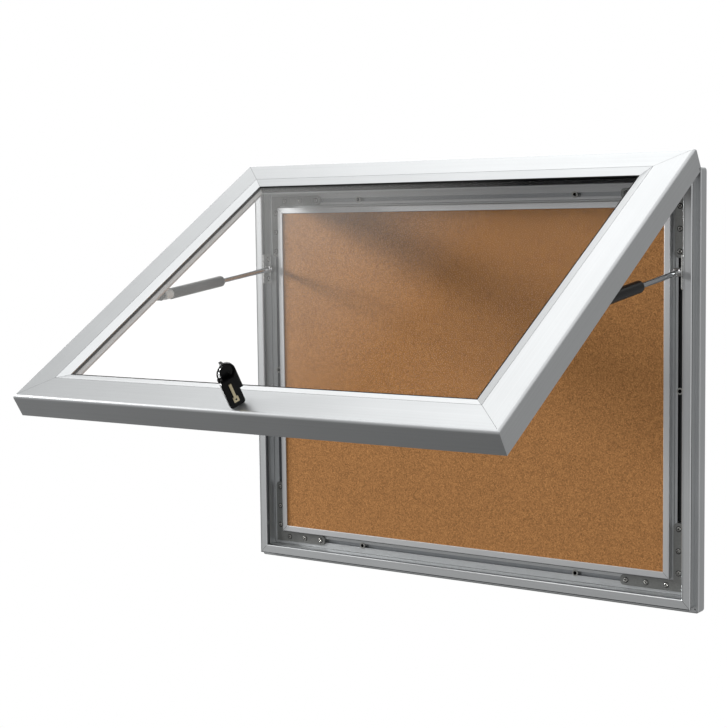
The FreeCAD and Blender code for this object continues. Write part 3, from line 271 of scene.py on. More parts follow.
def extruded_aluminium(name, colour, axis, tilt=0.0, rough=0.36, grooves=None, painted_shade=PALE_SHADE_SHARE):
    """Aluminium pushed through a die, etched and clear anodised: a soft satin sheen with faint
    straight lines along the length and a fine etched grain across it. Its grooves carry painted
    shade, a multiple of the painted shade colour's tone."""
    material, tree = new_material(name)
    lines = add_node(tree, "ShaderNodeTexNoise",
                     inputs={"Vector": stretched(tree, axis, 0.6, sizes().die_line, tilt),
                             "Scale": 1.0, "Detail": 3.0, "Roughness": 0.6})
    place = add_node(tree, "ShaderNodeTexCoord").outputs["Object"]
    etch = add_node(tree, "ShaderNodeTexNoise",
                    inputs={"Vector": place, "Scale": 1 / (0.9 * MM), "Detail": 2.0})
    cloud = add_node(tree, "ShaderNodeTexNoise",
                     inputs={"Vector": place, "Scale": 1 / 0.12, "Detail": 3.0})
    line_tone = tones(tree, lines.outputs["Fac"], (0.3, shade(colour, 0.955)), (0.7, shade(colour, 1.03)))
    cloud_tone = tones(tree, cloud.outputs["Fac"], (0.35, grey(0.97)), (0.65, grey(1.0)))
    tone = add_node(tree, "ShaderNodeMix", {"data_type": "RGBA", "blend_type": "MULTIPLY"},
                    {"Factor": 1.0, "A": line_tone, "B": cloud_tone})
    if grooves:
        tone = add_node(tree, "ShaderNodeMix", {"data_type": "RGBA"},
                        {"Factor": groove_shares(tree, *grooves), "A": tone.outputs["Result"],
                         "B": shade(colours().painted_shade, painted_shade)})
    roughness = add_node(tree, "ShaderNodeMapRange",
                         inputs={"Value": etch.outputs["Fac"], "From Min": 0.3, "From Max": 0.7,
                                 "To Min": rough - 0.05, "To Max": rough + 0.05})
    relief = add_node(tree, "ShaderNodeBump",
                      inputs={"Height": etch.outputs["Fac"], "Strength": 0.05, "Distance": 0.1 * MM})
    relief = add_node(tree, "ShaderNodeBump",
                      inputs={"Height": lines.outputs["Fac"], "Strength": 0.12, "Distance": 0.1 * MM,
                              "Normal": relief.outputs["Normal"]})
    shader = add_node(tree, "ShaderNodeBsdfPrincipled",
                      inputs={"Base Color": tone.outputs["Result"], "Metallic": 0.9,
                              "Roughness": roughness.outputs["Result"],
                              "Normal": relief.outputs["Normal"]})
    return finish_material(material, shader)


def pressed_cork(name, colour, dark):
    """Cork granules pressed and sanded to a sheet: warm mottled grains with dark bark specks and a
    dry, matt, slightly pitted face."""
    material, tree = new_material(name)
    place = add_node(tree, "ShaderNodeTexCoord").outputs["Object"]
    grain = sizes().cork_grain
    wander = add_node(tree, "ShaderNodeTexNoise", inputs={"Vector": place, "Scale": 1 / (4 * grain)})
    bent = add_node(tree, "ShaderNodeMix", {"data_type": "VECTOR"},
                    {"Factor": 0.004, "A": place, "B": wander.outputs["Color"]})
    cells = add_node(tree, "ShaderNodeTexVoronoi",
                     inputs={"Vector": bent.outputs["Result"], "Scale": 1 / grain, "Randomness": 1.0})
    edges = add_node(tree, "ShaderNodeTexVoronoi", {"feature": "DISTANCE_TO_EDGE"},
                     {"Vector": bent.outputs["Result"], "Scale": 1 / grain})
    grains = tones(tree, cells.outputs["Color"], (0.05, shade(colour, 0.62)), (0.45, colour),
                   (0.95, shade(colour, 1.4)))
    specks = add_node(tree, "ShaderNodeTexNoise",
                      inputs={"Vector": place, "Scale": 1 / (1.6 * grain), "Detail": 6.0,
                              "Roughness": 0.75})
    speck_share = tones(tree, specks.outputs["Fac"], (0.56, grey(0.0)), (0.70, grey(0.8)))
    flecked = add_node(tree, "ShaderNodeMix", {"data_type": "RGBA"},
                       {"Factor": speck_share, "A": grains, "B": dark})
    seam_share = tones(tree, edges.outputs["Distance"], (0.0, grey(0.45)), (0.12, grey(0.0)))
    seamed = add_node(tree, "ShaderNodeMix", {"data_type": "RGBA"},
                      {"Factor": seam_share, "A": flecked.outputs["Result"], "B": dark})
    cloud = add_node(tree, "ShaderNodeTexNoise", inputs={"Vector": place, "Scale": 1 / 0.11, "Detail": 4.0})
    cloud_tone = tones(tree, cloud.outputs["Fac"], (0.3, grey(0.95)), (0.7, grey(1.0)))
    tone = add_node(tree, "ShaderNodeMix", {"data_type": "RGBA", "blend_type": "MULTIPLY"},
                    {"Factor": 1.0, "A": seamed.outputs["Result"], "B": cloud_tone})
    relief = add_node(tree, "ShaderNodeBump",
                      inputs={"Height": edges.outputs["Distance"], "Strength": 0.45, "Distance": 0.4 * MM})
    shader = add_node(tree, "ShaderNodeBsdfPrincipled",
                      inputs={"Base Color": tone.outputs["Result"], "Roughness": 0.92,
                              "Specular IOR Level": 0.15, "Normal": relief.outputs["Normal"]})
    return finish_material(material, shader)


def grained(name, colour, metal, rough, grit, spread=0.06, relief_share=0.1, gloss=0.5):
    """A moulded, plated or enamelled surface with a fine uneven grain of a real grit size."""
    material, tree = new_material(name)
    place = add_node(tree, "ShaderNodeTexCoord").outputs["Object"]
    grain = add_node(tree, "ShaderNodeTexNoise", inputs={"Vector": place, "Scale": 1 / grit, "Detail": 4.0})
    tone = tones(tree, grain.outputs["Fac"], (0.3, shade(colour, 1 - spread)),
                 (0.7, shade(colour, 1 + spread)))
    roughness = add_node(tree, "ShaderNodeMapRange",
                         inputs={"Value": grain.outputs["Fac"], "To Min": rough - 0.08,
                                 "To Max": rough + 0.08})
    relief = add_node(tree, "ShaderNodeBump",
                      inputs={"Height": grain.outputs["Fac"], "Strength": relief_share,
                              "Distance": 0.1 * MM})
    shader = add_node(tree, "ShaderNodeBsdfPrincipled",
                      inputs={"Base Color": tone, "Metallic": metal,
                              "Roughness": roughness.outputs["Result"],
                              "Normal": relief.outputs["Normal"], "Specular IOR Level": gloss})
    return finish_material(material, shader)


def clear_sheet(name):
    """Safety glass: clear, letting the light through, with a thin gloss and a faint film of dust,
    thickest towards its left side, that catches the light."""
    material, tree = new_material(name)
    place = add_node(tree, "ShaderNodeTexCoord").outputs["Object"]
    dust = add_node(tree, "ShaderNodeTexNoise", inputs={"Vector": place, "Scale": 1 / 0.05, "Detail": 6.0})
    across = add_node(tree, "ShaderNodeSeparateXYZ", inputs={"Vector": place}).outputs["X"]
    spread = add_node(tree, "ShaderNodeMapRange",
                      inputs={"Value": across, "From Min": -0.43, "From Max": 0.2,
                              "To Min": sizes().haze, "To Max": 0.0})
    film = add_node(tree, "ShaderNodeMapRange",
                    inputs={"Value": dust.outputs["Fac"], "From Min": 0.3, "From Max": 0.7,
                            "To Min": 0.85, "To Max": 1.0})
    film = add_node(tree, "ShaderNodeMath", {"operation": "MULTIPLY"},
                    {0: film.outputs["Result"], 1: spread.outputs["Result"]})
    through = add_node(tree, "ShaderNodeBsdfTransparent", inputs={"Color": paint("#ffffff")})
    haze = add_node(tree, "ShaderNodeBsdfDiffuse", inputs={"Color": paint("#f4f4f2")})
    dusty = add_node(tree, "ShaderNodeMixShader",
                     inputs={0: film.outputs["Value"], 1: through.outputs["BSDF"],
                             2: haze.outputs["BSDF"]})
    gloss = add_node(tree, "ShaderNodeBsdfGlossy", inputs={"Roughness": 0.0})
    facing = add_node(tree, "ShaderNodeLayerWeight", inputs={"Blend": 0.5}).outputs["Facing"]
    steep = add_node(tree, "ShaderNodeMath", {"operation": "POWER"}, {0: facing, 1: 5.0})
    share = add_node(tree, "ShaderNodeMath", {"operation": "MULTIPLY_ADD"},
                     {0: steep.outputs["Value"], 1: 0.05, 2: 0.003})
    mix = add_node(tree, "ShaderNodeMixShader",
                   inputs={0: share.outputs["Value"], 1: dusty.outputs["Shader"],
                           2: gloss.outputs["BSDF"]})
    add_node(tree, "ShaderNodeOutputMaterial", inputs={"Surface": mix.outputs["Shader"]})
    return material


def case_point(x_side, z_side, inset, depth, slide=0.0):
    """A point of the case at one corner, given in mm inward from its edge and forward from the
    wall. Slide moves it square to the corner's mitre."""
    return Vector((x_side * (CASE_HALF_WIDTH - (inset - slide) * MM), -depth * MM,
                   z_side * (CASE_HALF_HEIGHT - (inset + slide) * MM)))


def door_point(x_side, z_side, inset, depth, slide=0.0):
    """The same for the door, in its stored, open pose."""
    closed = case_point(x_side, z_side, inset + DOOR_MARGIN / MM, depth, slide)
    return Matrix.Rotation(-door_turn(), 3, "X") @ (closed - HINGE) + HINGE


def ring(shape, point, section, sides=(0, 1, 2, 3)):
    """A frame swept round the board's mitred corners with a closed section of (inset, depth)
    points. Its sides count from the bottom: bottom, right, top, left."""
    loops = [[shape.verts.new(point(*corner, *place)) for place in section] for corner in CORNERS]
    for side in sides:
        loop, following = loops[side], loops[(side + 1) % 4]
        for step in range(len(section)):
            after = (step + 1) % len(section)
            face = shape.faces.new((loop[step], loop[after], following[after], following[step]))
            face.smooth = len(section) > 4
    loose = [vertex for vertex in shape.verts if not vertex.link_faces]
    bmesh.ops.delete(shape, geom=loose, context="VERTS")
    boundary = [edge for edge in shape.edges if edge.is_boundary]
    bmesh.ops.holes_fill(shape, edges=boundary, sides=len(section))
    bmesh.ops.recalc_face_normals(shape, faces=shape.faces)


def chamfer(inset, depth, width, inward):
    """The section of a raised chamfer along an edge, facing forward and inward or outward."""
    step = width / math.sqrt(2)
    return [(inset - inward * step, depth), (inset - inward * 0.8 * step, depth + 0.6 * step),
            (inset + inward * 0.2 * step, depth - 0.4 * step), (inset, depth - step)]


def band(inset, depth, far_inset, far_depth):
    return [(inset, depth), (far_inset, depth), (far_inset, far_depth), (inset, far_depth)]


def mitre_seams(shape, point, section):
    """Fine ribbons down the mitres, laid on a section's visible faces."""
    half = sizes().seam / MM / math.sqrt(8)
    for corner in CORNERS:
        for (inset, depth), (far_inset, far_depth) in zip(section, section[1:]):
            near = [shape.verts.new(point(*corner, inset, depth + SEAM_LIFT, slide))
                    for slide in (half, -half)]
            far = [shape.verts.new(point(*corner, far_inset, far_depth + SEAM_LIFT, slide))
                   for slide in (-half, half)]
            shape.faces.new(near + far)


def dress(material, *names):
    """Give CAD nodes one material."""
    for name in names:
        mesh = frame["nodes"][name].data
        mesh.materials.clear()
        mesh.materials.append(material)


def soften(width, *names):
    """Break the sharp edges of CAD nodes."""
    for name in names:
        bevel = frame["nodes"][name].modifiers.new("broken_edge", "BEVEL")
        bevel.width = width
        bevel.segments = 2
        bevel.limit_method = "ANGLE"
        bevel.angle_limit = math.radians(50)
        bevel.harden_normals = True
        bevel.use_clamp_overlap = True


def mesh_object(name, shape, material, body):
    """A new piece from a bmesh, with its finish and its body."""
    mesh = bpy.data.meshes.new(name)
    shape.to_mesh(mesh)
    shape.free()
    mesh.materials.append(material)
    piece = bpy.data.objects.new(name, mesh)
    bpy.context.scene.collection.objects.link(piece)
    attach(piece, body)
    return piece


def turned(shape, profile, sides, place):
    """Spin (radius, height) points about the local Z axis, into the bmesh, at a place."""
    rings = []
    for radius, height in profile:
        if radius == 0:
            rings.append([shape.verts.new(place @ Vector((0, 0, height)))])
            continue
        turns = [2 * math.pi * step / sides for step in range(sides)]
        rings.append([shape.verts.new(place @ Vector((radius * math.cos(a), radius * math.sin(a), height)))
                      for a in turns])
    for lower, upper in zip(rings, rings[1:]):
        for step in range(sides):
            after = (step + 1) % sides
            corners = [lower[step % len(lower)], lower[after % len(lower)],
                       upper[after % len(upper)], upper[step % len(upper)]]
            unique = list(dict.fromkeys(corners))
            face = shape.faces.new(unique)
            face.smooth = True


def disc(radius, height):
    """The profile of a flat round disc, to spin."""
    return [(0, 0), (radius, 0), (radius, height), (0, height)]


def islands(name):
    """The lowest and highest corners of each separate solid of a CAD node."""
    mesh = frame["nodes"][name].data
    owner = {}
    keys = [tuple(round(value, 5) for value in vertex.co) for vertex in mesh.vertices]

    def find(key):
        while owner[key] != key:
            owner[key] = owner[owner[key]]
            key = owner[key]
        return key

    for key in keys:
        owner.setdefault(key, key)
    for polygon in mesh.polygons:
        first = find(keys[polygon.vertices[0]])
        for index in polygon.vertices[1:]:
            owner[find(keys[index])] = first
    groups = {}
    for key in owner:
        groups.setdefault(find(key), []).append(Vector(key))
    boxes = []
    for points in groups.values():
        boxes.append((Vector([min(p[i] for p in points) for i in range(3)]),
                      Vector([max(p[i] for p in points) for i in range(3)]), points))
    return sorted(boxes, key=lambda item: tuple(item[0]))


def facing(direction, spin=0.0):
    """A rotation that carries +Z to a direction."""
    return direction.to_track_quat("Z", "X").to_matrix().to_4x4() @ Matrix.Rotation(spin, 4, "Z")


def recessed_head():
    """The mesh of a domed screw head with a cross recess, standing on the XY plane."""
    radius, height = SCREW_HEAD_RADIUS, SCREW_HEAD_HEIGHT
    shape = bmesh.new()
    wall, steps = 0.35, 5
    profile = [(0, -0.2 * height), (radius, -0.2 * height), (radius, wall * height)]
    for step in range(1, steps + 1):
        angle = math.pi / 2 * step / steps
        profile.append((radius * (1 - 0.42 * (1 - math.cos(angle)) - 0.1 * step / steps),
                        height * (wall + (1 - wall) * math.sin(angle))))
    profile.append((0, height))
    turned(shape, profile, 28, Matrix())
    head = bpy.data.meshes.new("head_blank")
    shape.to_mesh(head)
    shape.free()
    blank = bpy.data.objects.new("head_blank", head)
    bpy.context.scene.collection.objects.link(blank)
    cutters = []
    for spin in (0, math.pi / 2):
        cross = bmesh.new()
        bmesh.ops.create_cube(cross, size=1.0)
        bmesh.ops.scale(cross, vec=(radius * 1.15, radius * 0.26, height), verts=cross.verts)
        bmesh.ops.rotate(cross, matrix=Matrix.Rotation(spin, 3, "Z"), verts=cross.verts)
        bmesh.ops.translate(cross, vec=(0, 0, height), verts=cross.verts)
        mesh = bpy.data.meshes.new("head_cutter")
        cross.to_mesh(mesh)
        cross.free()
        cutter = bpy.data.objects.new("head_cutter", mesh)
        bpy.context.scene.collection.objects.link(cutter)
        cut = blank.modifiers.new("cross", "BOOLEAN")
        cut.operation = "DIFFERENCE"
        cut.object = cutter
        cutters.append(cutter)
    evaluated = blank.evaluated_get(bpy.context.evaluated_depsgraph_get())
    result = bpy.data.meshes.new_from_object(evaluated)
    for thing in [blank, *cutters]:
        bpy.data.objects.remove(thing)
    # The faces down in the cross recess take the second material: painted shade.
    for face in result.polygons:
        central = math.hypot(*face.center[:2]) < 0.62 * radius
        sunk = 0.4 * height < face.center.z < 0.85 * height
        face.material_index = 1 if central and sunk else 0
    return result


def screw_heads(name, node, direction, material, body):
    """Cross-recessed screws on the places of a CAD node's screws, each with painted shade in its
    recess and a dark ring of painted contact shadow round its head."""
    head = recessed_head()
    radius, height, shank = SCREW_HEAD_RADIUS, SCREW_HEAD_HEIGHT, SCREW_SHANK_RADIUS
    shape = bmesh.new()
    dice = random.Random(name)
    for least, most, points in islands(node):
        out = direction((least + most) / 2)
        centre = sum(points, Vector()) / len(points)
        reach = [point.dot(out) for point in points]
        seat = centre + out * (max(reach) - height - centre.dot(out))
        place = Matrix.Translation(seat) @ facing(out, dice.uniform(0, math.pi))
        start = len(shape.verts)
        shape.from_mesh(head)
        shape.verts.ensure_lookup_table()
        bmesh.ops.transform(shape, matrix=place, verts=shape.verts[start:])
        tip = min(reach) - max(reach) + height
        turned(shape, [(0, tip), (shank, tip), (shank, 0.02 * height), (0, 0.02 * height)], 12, place)
        # A thin dark ring round the head: painted contact shadow.
        start = len(shape.faces)
        near, far = 0.9 * radius, 1.3 * radius
        low, top = 0.02 * MM, 0.12 * MM
        turned(shape, [(near, low), (far, low), (far, top), (near, top)], 28, place)
        shape.faces.ensure_lookup_table()
        for face in shape.faces[start:]:
            face.material_index = 1
    piece = mesh_object(name, shape, material, body)
    piece.data.materials.append(grained(f"{name}_painted_screw_shade", colours().painted_shade, 0.2, 0.7, 0.5 * MM, 0.2, 0.2))
    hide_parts(node)
    return piece


# The door's directions in its stored, open pose

def run_axis(side):
    """The axis that a side's profile runs along, in the case or in the shut door."""
    return "X" if side in ("bottom", "top") else "Z"


def door_turn():
    swing = next(joint for joint in frame["joints"] if joint["name"] == "door_swing")
    return math.radians(swing["range_deg"][1])


def door_out():
    """The direction that the door's front faces."""
    angle = door_turn()
    return Vector((0, -math.cos(angle), math.sin(angle)))


class BOARD_OT_case(bpy.types.Operator):
    """Finish the case's four profiles, its back panel and its fixing rims"""
    bl_idname = "board.case"
    bl_label = "Case"

    def execute(self, context):
        for side in SIDES:
            axis = run_axis(side)
            across = ("Z", CASE_HALF_HEIGHT) if axis == "X" else ("X", CASE_HALF_WIDTH)
            # Each profile's grooves are painted shade, darkest on the right side, whose grooves lie in deep
            # shade.
            metal = extruded_aluminium(f"anodised_aluminium_case_{side}", colours().aluminium, axis,
                                       grooves=across,
                                       painted_shade=DEEP_SHADE_SHARE if side == "right" else PALE_SHADE_SHARE)
            dress(metal, f"case_{side}_profile")
        soften(sizes().edge_round, *[f"case_{side}_profile" for side in SIDES])
        dress(grained("coated_back_sheet", paint("#c9cbcb"), 0.1, 0.55, 0.8 * MM), "back_panel")
        dress(grained("pressed_aluminium_angles", paint("#b4b6b7"), 0.9, 0.45, 0.6 * MM),
              "case_corner_cleats", "door_corner_cleats")
        bright = grained("nickel_plated_steel", paint("#d4d4d2"), 0.95, 0.24, 0.5 * MM)
        dress(bright, "case_grub_screws", "lock_nut", "lock_cam", "lock_cam_screw")
        dress(grained("dull_nickel_plate", paint("#a3a39f"), 0.9, 0.34, 0.5 * MM), "wall_fixing_eyelets")
        polished = grained("polished_edge", colours().aluminium, 0.95, 0.3, 0.8 * MM, 0.03, 0.03)
        # The bottom's lower edge gets a dark grey metal: painted shade, as the underside lies in shade.
        shaded_edge_metal = grained("painted_shade_lower_edge", paint("#56585a"), 0.9, 0.45, 0.8 * MM)
        width = sizes().edge_line / MM
        for name, inset, inward, sides, metal in (
                ("lip_inner_edge", LIP_INNER, 1, (0, 1, 2, 3), polished),
                ("lip_outer_edge", LIP_OUTER, -1, (1, 2, 3), polished),
                ("lip_lower_edge", LIP_OUTER, -1, (0,), shaded_edge_metal)):
            edges = bmesh.new()
            ring(edges, case_point, chamfer(inset, LIP_FRONT, width, inward), sides)
            mesh_object(name, edges, metal, "case")
        # Painted shade: dark lines at the root of the lip's outer step, in the channel's inner corner and
        # beside the trim, and a dark dot on each corner; also dark ribbons down the mitres.
        shadowed = grained("shadowed_groove", colours().painted_shade, 0.2, 0.7, 0.8 * MM, 0.2, 0.2)
        lines = bmesh.new()
        ring(lines, case_point, band(LIP_OUTER - 0.1, LIP_STEP[0], LIP_OUTER + 0.2, LIP_STEP[1]))
        for inset, line_width in ((CHANNEL_INSET, 0.5), (CHANNEL_STEP, 0.7)):
            ring(lines, case_point,
                 band(inset, FLOOR_DEPTH, inset + line_width, FLOOR_DEPTH + LINE_HEIGHT))
        mitre_seams(lines, case_point, ((LIP_OUTER + 2, LIP_FRONT), (LIP_INNER - 2, LIP_FRONT)))
        mitre_seams(lines, case_point, ((STEP_EDGE, STEP_FRONT), (LIP_OUTER, STEP_FRONT)))
        for corner in CORNERS:
            corner_place = case_point(*corner, LIP_OUTER - 1.4, STEP_FRONT)
            turned(lines, disc(SHADE_DOT_RADIUS, SHADE_DOT_HEIGHT), 14,
                   Matrix.Translation(corner_place) @ facing(FORWARD))
        mesh_object("case_seams_and_shade_lines", lines, shadowed, "case")
        # Painted shade: a black disc in each fixing hole stands for the dark behind it.
        hole_shades = bmesh.new()
        for low, high, _ in islands("wall_fixing_eyelets"):
            middle = (low + high) / 2
            turned(hole_shades, disc(HOLE_SHADE_RADIUS, HOLE_SHADE_LENGTH), 24,
                   Matrix.Translation((middle.x, -HOLE_SHADE_REAR, middle.z)) @ facing(FORWARD))
        mesh_object("fixing_hole_shades", hole_shades,
                    grained("painted_hole_shade", paint("#060607"), 0.0, 0.8, 0.6 * MM, 0.2, 0.2, gloss=0.0),
                    "case")
        return {"FINISHED"}


class BOARD_OT_panel(bpy.types.Operator):
    """Finish the cork panel and the trims round it"""
    bl_idname = "board.panel"
    bl_label = "Cork panel"

    def execute(self, context):
        dress(pressed_cork("pressed_cork", colours().cork, colours().cork_dark), "cork_panel")
        dress(grained("soft_fibre_board", paint("#8f7450"), 0.0, 0.9, 1.5 * MM, 0.15, 0.4), "board_core")
        for side in SIDES:
            trim = extruded_aluminium(f"anodised_aluminium_trim_{side}", colours().trim, run_axis(side),
                                      rough=0.42)
            dress(trim, f"board_{side}_trim")
        soften(sizes().edge_round, *[f"board_{side}_trim" for side in SIDES])
        seams = bmesh.new()
        mitre_seams(seams, case_point, ((TRIM_INSET + 0.8, TRIM_FRONT),
                                        (TRIM_INSET + TRIM_WIDTH - 0.3, TRIM_FRONT)))
        mesh_object("trim_seams", seams, grained("trim_seam_shadow", colours().painted_shade, 0.2, 0.7, 0.8 * MM),
                    "case")
        return {"FINISHED"}


class BOARD_OT_brackets(bpy.types.Operator):
    """Finish the corner brackets and set their screws"""
    bl_idname = "board.brackets"
    bl_label = "Corner brackets"

    def execute(self, context):
        zinc = grained("dull_zinc_plate", colours().bracket, 0.9, 0.32, 2.5 * MM, 0.08)
        corners = [f"corner_bracket_{level}_{side}"
                   for level in ("top", "bottom") for side in ("left", "right")]
        dress(zinc, *corners)
        soften(sizes().edge_round, *corners)
        plated = grained("bright_zinc_screw", paint("#999894"), 0.95, 0.26, 0.4 * MM)
        screw_heads("bracket_screw_heads", "corner_bracket_screws", lambda centre: FORWARD,
                    plated, "case")
        return {"FINISHED"}


class BOARD_OT_door(bpy.types.Operator):
    """Finish the door's frame, pane, gasket and seal"""
    bl_idname = "board.door"
    bl_label = "Door"

    def execute(self, context):
        tilt = door_turn()
        names = {"bottom": "door_bottom_rail", "top": "door_top_rail",
                 "left": "door_left_stile", "right": "door_right_stile"}
        for side, node in names.items():
            metal = extruded_aluminium(f"anodised_aluminium_door_{side}", colours().aluminium,
                                       run_axis(side), -tilt)
            dress(metal, node)
        soften(sizes().edge_round, *names.values())
        dress(clear_sheet("clear_safety_glass"), "door_pane")
        rubber = grained("black_epdm_rubber", paint("#0e0f10"), 0.0, 0.62, 0.7 * MM, 0.15, 0.3, gloss=0.1)
        dress(rubber, "glazing_gasket", "door_seal")
        strips = bmesh.new()
        for (rear, front), reach in ((WIDE_STRIP, 0.8), (NARROW_STRIP, 1.6)):
            ring(strips, door_point,
                 band(DOOR_FRAME_WIDTH - 0.2, rear, DOOR_FRAME_WIDTH + reach, front), (0, 1, 3))
        mesh_object("glazing_strips", strips,
                    grained("pale_grey_pvc", paint("#d6d7d7"), 0.0, 0.35, 0.8 * MM, 0.03),
                    "door")
        lip = bmesh.new()
        ring(lip, door_point,
             band(DOOR_FRAME_WIDTH - 0.1, PANE_FRONT, DOOR_FRAME_WIDTH + 2.4, PANE_FRONT + 1.9), (0, 1, 2))
        mesh_object("glazing_lip", lip, rubber, "door")
        seams = bmesh.new()
        mitre_seams(seams, door_point, (*DOOR_ROUNDING, (DOOR_FACE_WIDTH, DOOR_FRONT),
                                        (DOOR_FRAME_WIDTH, DOOR_BEVEL_FRONT)))
        half = sizes().seam / MM / 2
        ring(seams, door_point, band(DOOR_FACE_WIDTH - half, DOOR_FRONT - 0.4, DOOR_FACE_WIDTH + half,
                                     DOOR_FRONT + 0.05))
        mesh_object("door_seams", seams, grained("door_seam_shadow", paint("#4b4d4f"), 0.3, 0.6, 0.8 * MM),
                    "door")
        return {"FINISHED"}


class BOARD_OT_struts(bpy.types.Operator):
    """Finish the two gas struts, their plates, studs and feet"""
    bl_idname = "board.struts"
    bl_label = "Gas struts"

    def execute(self, context):
        enamel = grained("black_stove_enamel", colours().strut, 0.0, 0.3, 0.8 * MM, 0.1, 0.04, gloss=0.15)
        rod = grained("dark_chrome_rod", paint("#a2a4a6"), 1.0, 0.14, 0.6 * MM, 0.03, 0.03)
        chrome = grained("hard_chrome_rod", paint("#dfe0e1"), 1.0, 0.14, 0.6 * MM, 0.03, 0.03)
        pale = grained("moulded_acetal", paint("#d9d9d5"), 0.0, 0.5, 0.8 * MM)
        steel = grained("plated_steel_plate", paint("#dcdcda"), 0.9, 0.28, 1.2 * MM)
        for side in ("left", "right"):
            dress(enamel, f"strut_cylinder_{side}", f"strut_eye_{side}", f"door_strut_foot_{side}")
            dress(rod, f"strut_rod_{side}")
            dress(chrome, f"strut_rod_end_{side}", f"strut_stud_{side}")
            dress(pale, f"strut_collar_{side}")
            dress(steel, f"strut_bracket_{side}")
            soften(sizes().edge_round, f"strut_bracket_{side}", f"door_strut_foot_{side}",
                   f"strut_stud_{side}", f"strut_eye_{side}", f"strut_rod_end_{side}")
            soften(2.2 * sizes().edge_round, f"strut_collar_{side}")
        screw_heads("strut_plate_screws", "strut_bracket_screws",
                    lambda centre: Vector((-1 if centre.x > 0 else 1, 0, 0)),
                    steel, "case")
        screw_heads("strut_foot_screws", "door_strut_foot_screws", lambda centre: -door_out(),
                    steel, "door")
        return {"FINISHED"}


class BOARD_OT_lock(bpy.types.Operator):
    """Finish the lock and the keys"""
    bl_idname = "board.lock"
    bl_label = "Lock and keys"

    def execute(self, context):
        chrome = grained("chromed_lock_barrel", paint("#dcdcd8"), 1.0, 0.16, 0.5 * MM, 0.03, 0.04)
        dress(chrome, "lock_barrel", "lock_plug", "key_blade")
        plastic = grained("moulded_nylon", colours().key, 0.0, 0.26, 0.6 * MM, 0.2, 0.08, gloss=0.25)
        dress(plastic, "key_head", "spare_key_head")
        dress(grained("black_enamelled_wire", paint("#0a0a0b"), 0.0, 0.36, 0.5 * MM, 0.1, 0.05, gloss=0.1),
              "key_ring")
        dress(grained("pale_brass", colours().blade, 0.9, 0.3, 0.5 * MM), "spare_key_blade")
        soften(2 * sizes().edge_round, "key_head", "spare_key_head")
        soften(0.6 * sizes().edge_round, "lock_barrel", "spare_key_blade", "key_blade")
        return {"FINISHED"}


# Studio

CAMERA_PLACE = Vector((1.65867, -2.68114, 0.30477))
CAMERA_YAW = math.radians(35.38)
CAMERA_PITCH = math.radians(4.95)
CAMERA_ROLL = math.radians(-0.7)
SENSOR_WIDTH = 36.0
LENS = 79.942


def studio_camera():
    """The camera where the photograph's edges place it."""
    ahead = Vector((-math.sin(CAMERA_YAW) * math.cos(CAMERA_PITCH),
                    math.cos(CAMERA_YAW) * math.cos(CAMERA_PITCH), -math.sin(CAMERA_PITCH)))
    right = Vector((math.cos(CAMERA_YAW), math.sin(CAMERA_YAW), 0))
    up = right.cross(ahead)
    rolled_right = math.cos(CAMERA_ROLL) * right + math.sin(CAMERA_ROLL) * up
    rolled_up = math.cos(CAMERA_ROLL) * up - math.sin(CAMERA_ROLL) * right
    data = bpy.data.cameras.new("studio_camera")
    data.sensor_fit = "HORIZONTAL"
    data.sensor_width = SENSOR_WIDTH
    data.lens = LENS
    data.clip_end = 50
    camera = bpy.data.objects.new("studio_camera", data)
    bpy.context.scene.collection.objects.link(camera)
    matrix = Matrix((rolled_right, rolled_up, -ahead)).transposed().to_4x4()
    matrix.translation = CAMERA_PLACE
    camera.matrix_world = matrix
    bpy.context.scene.camera = camera


def soft_box(name, place, target, size, watts):
    data = bpy.data.lights.new(name, "AREA")
    data.shape = "RECTANGLE"
    data.size, data.size_y = size
    data.energy = watts
    lamp = bpy.data.objects.new(name, data)
    lamp.location = place
    lamp.rotation_euler = (Vector(place) - Vector(target)).to_track_quat("Z", "Y").to_euler()
    bpy.context.scene.collection.objects.link(lamp)


SKY_STRENGTH = 2.5
# The room's greys by height and the ceiling's from left to right, as (place, grey) from 0 to 1 over
# the whole sphere, and the heights between which the room passes into the ceiling.
ROOM_TONES = ((0.08, 0.055), (0.28, 0.155), (0.63, 0.175), (0.75, 0.1))
CEILING_TONES = ((0.1, 0.0), (0.15, 0.25), (0.21, 0.5), (0.25, 0.77), (0.29, 0.74), (0.37, 0.72),
                 (0.46, 0.53), (0.85, 0.42), (0.9, 0.08))
CEILING_START = ((0.7, 0.0), (0.8, 1.0))
# A weaker light in front on the right and a stronger one behind on the left: where each is
# brightest, and its greys by how nearly a direction points there.
FILL_PEAK = Vector((0.84, -0.53, 0.1)).normalized()
FILL_TONES = ((0.84, 0.0), (0.96, 0.18))
BACK_PEAK = Vector((-0.6, 0.79, 0.12)).normalized()
BACK_TONES = ((0.84, 0.0), (0.9, 0.6))
# The key lamp, far off on the left, throws the door's and the strut's shadows on the cork.
LAMP_PLACE = (-5.5, -1.95, 1.51)
LAMP_TARGET = (0, -0.05, 0.05)
LAMP_SIZE = (1.0, 1.0)
LAMP_WATTS = 520


def grey_tones(tree, factor, stops):
    """A ramp from a factor through (place, grey) stops."""
    return tones(tree, factor, *[(place, grey(value)) for place, value in stops])


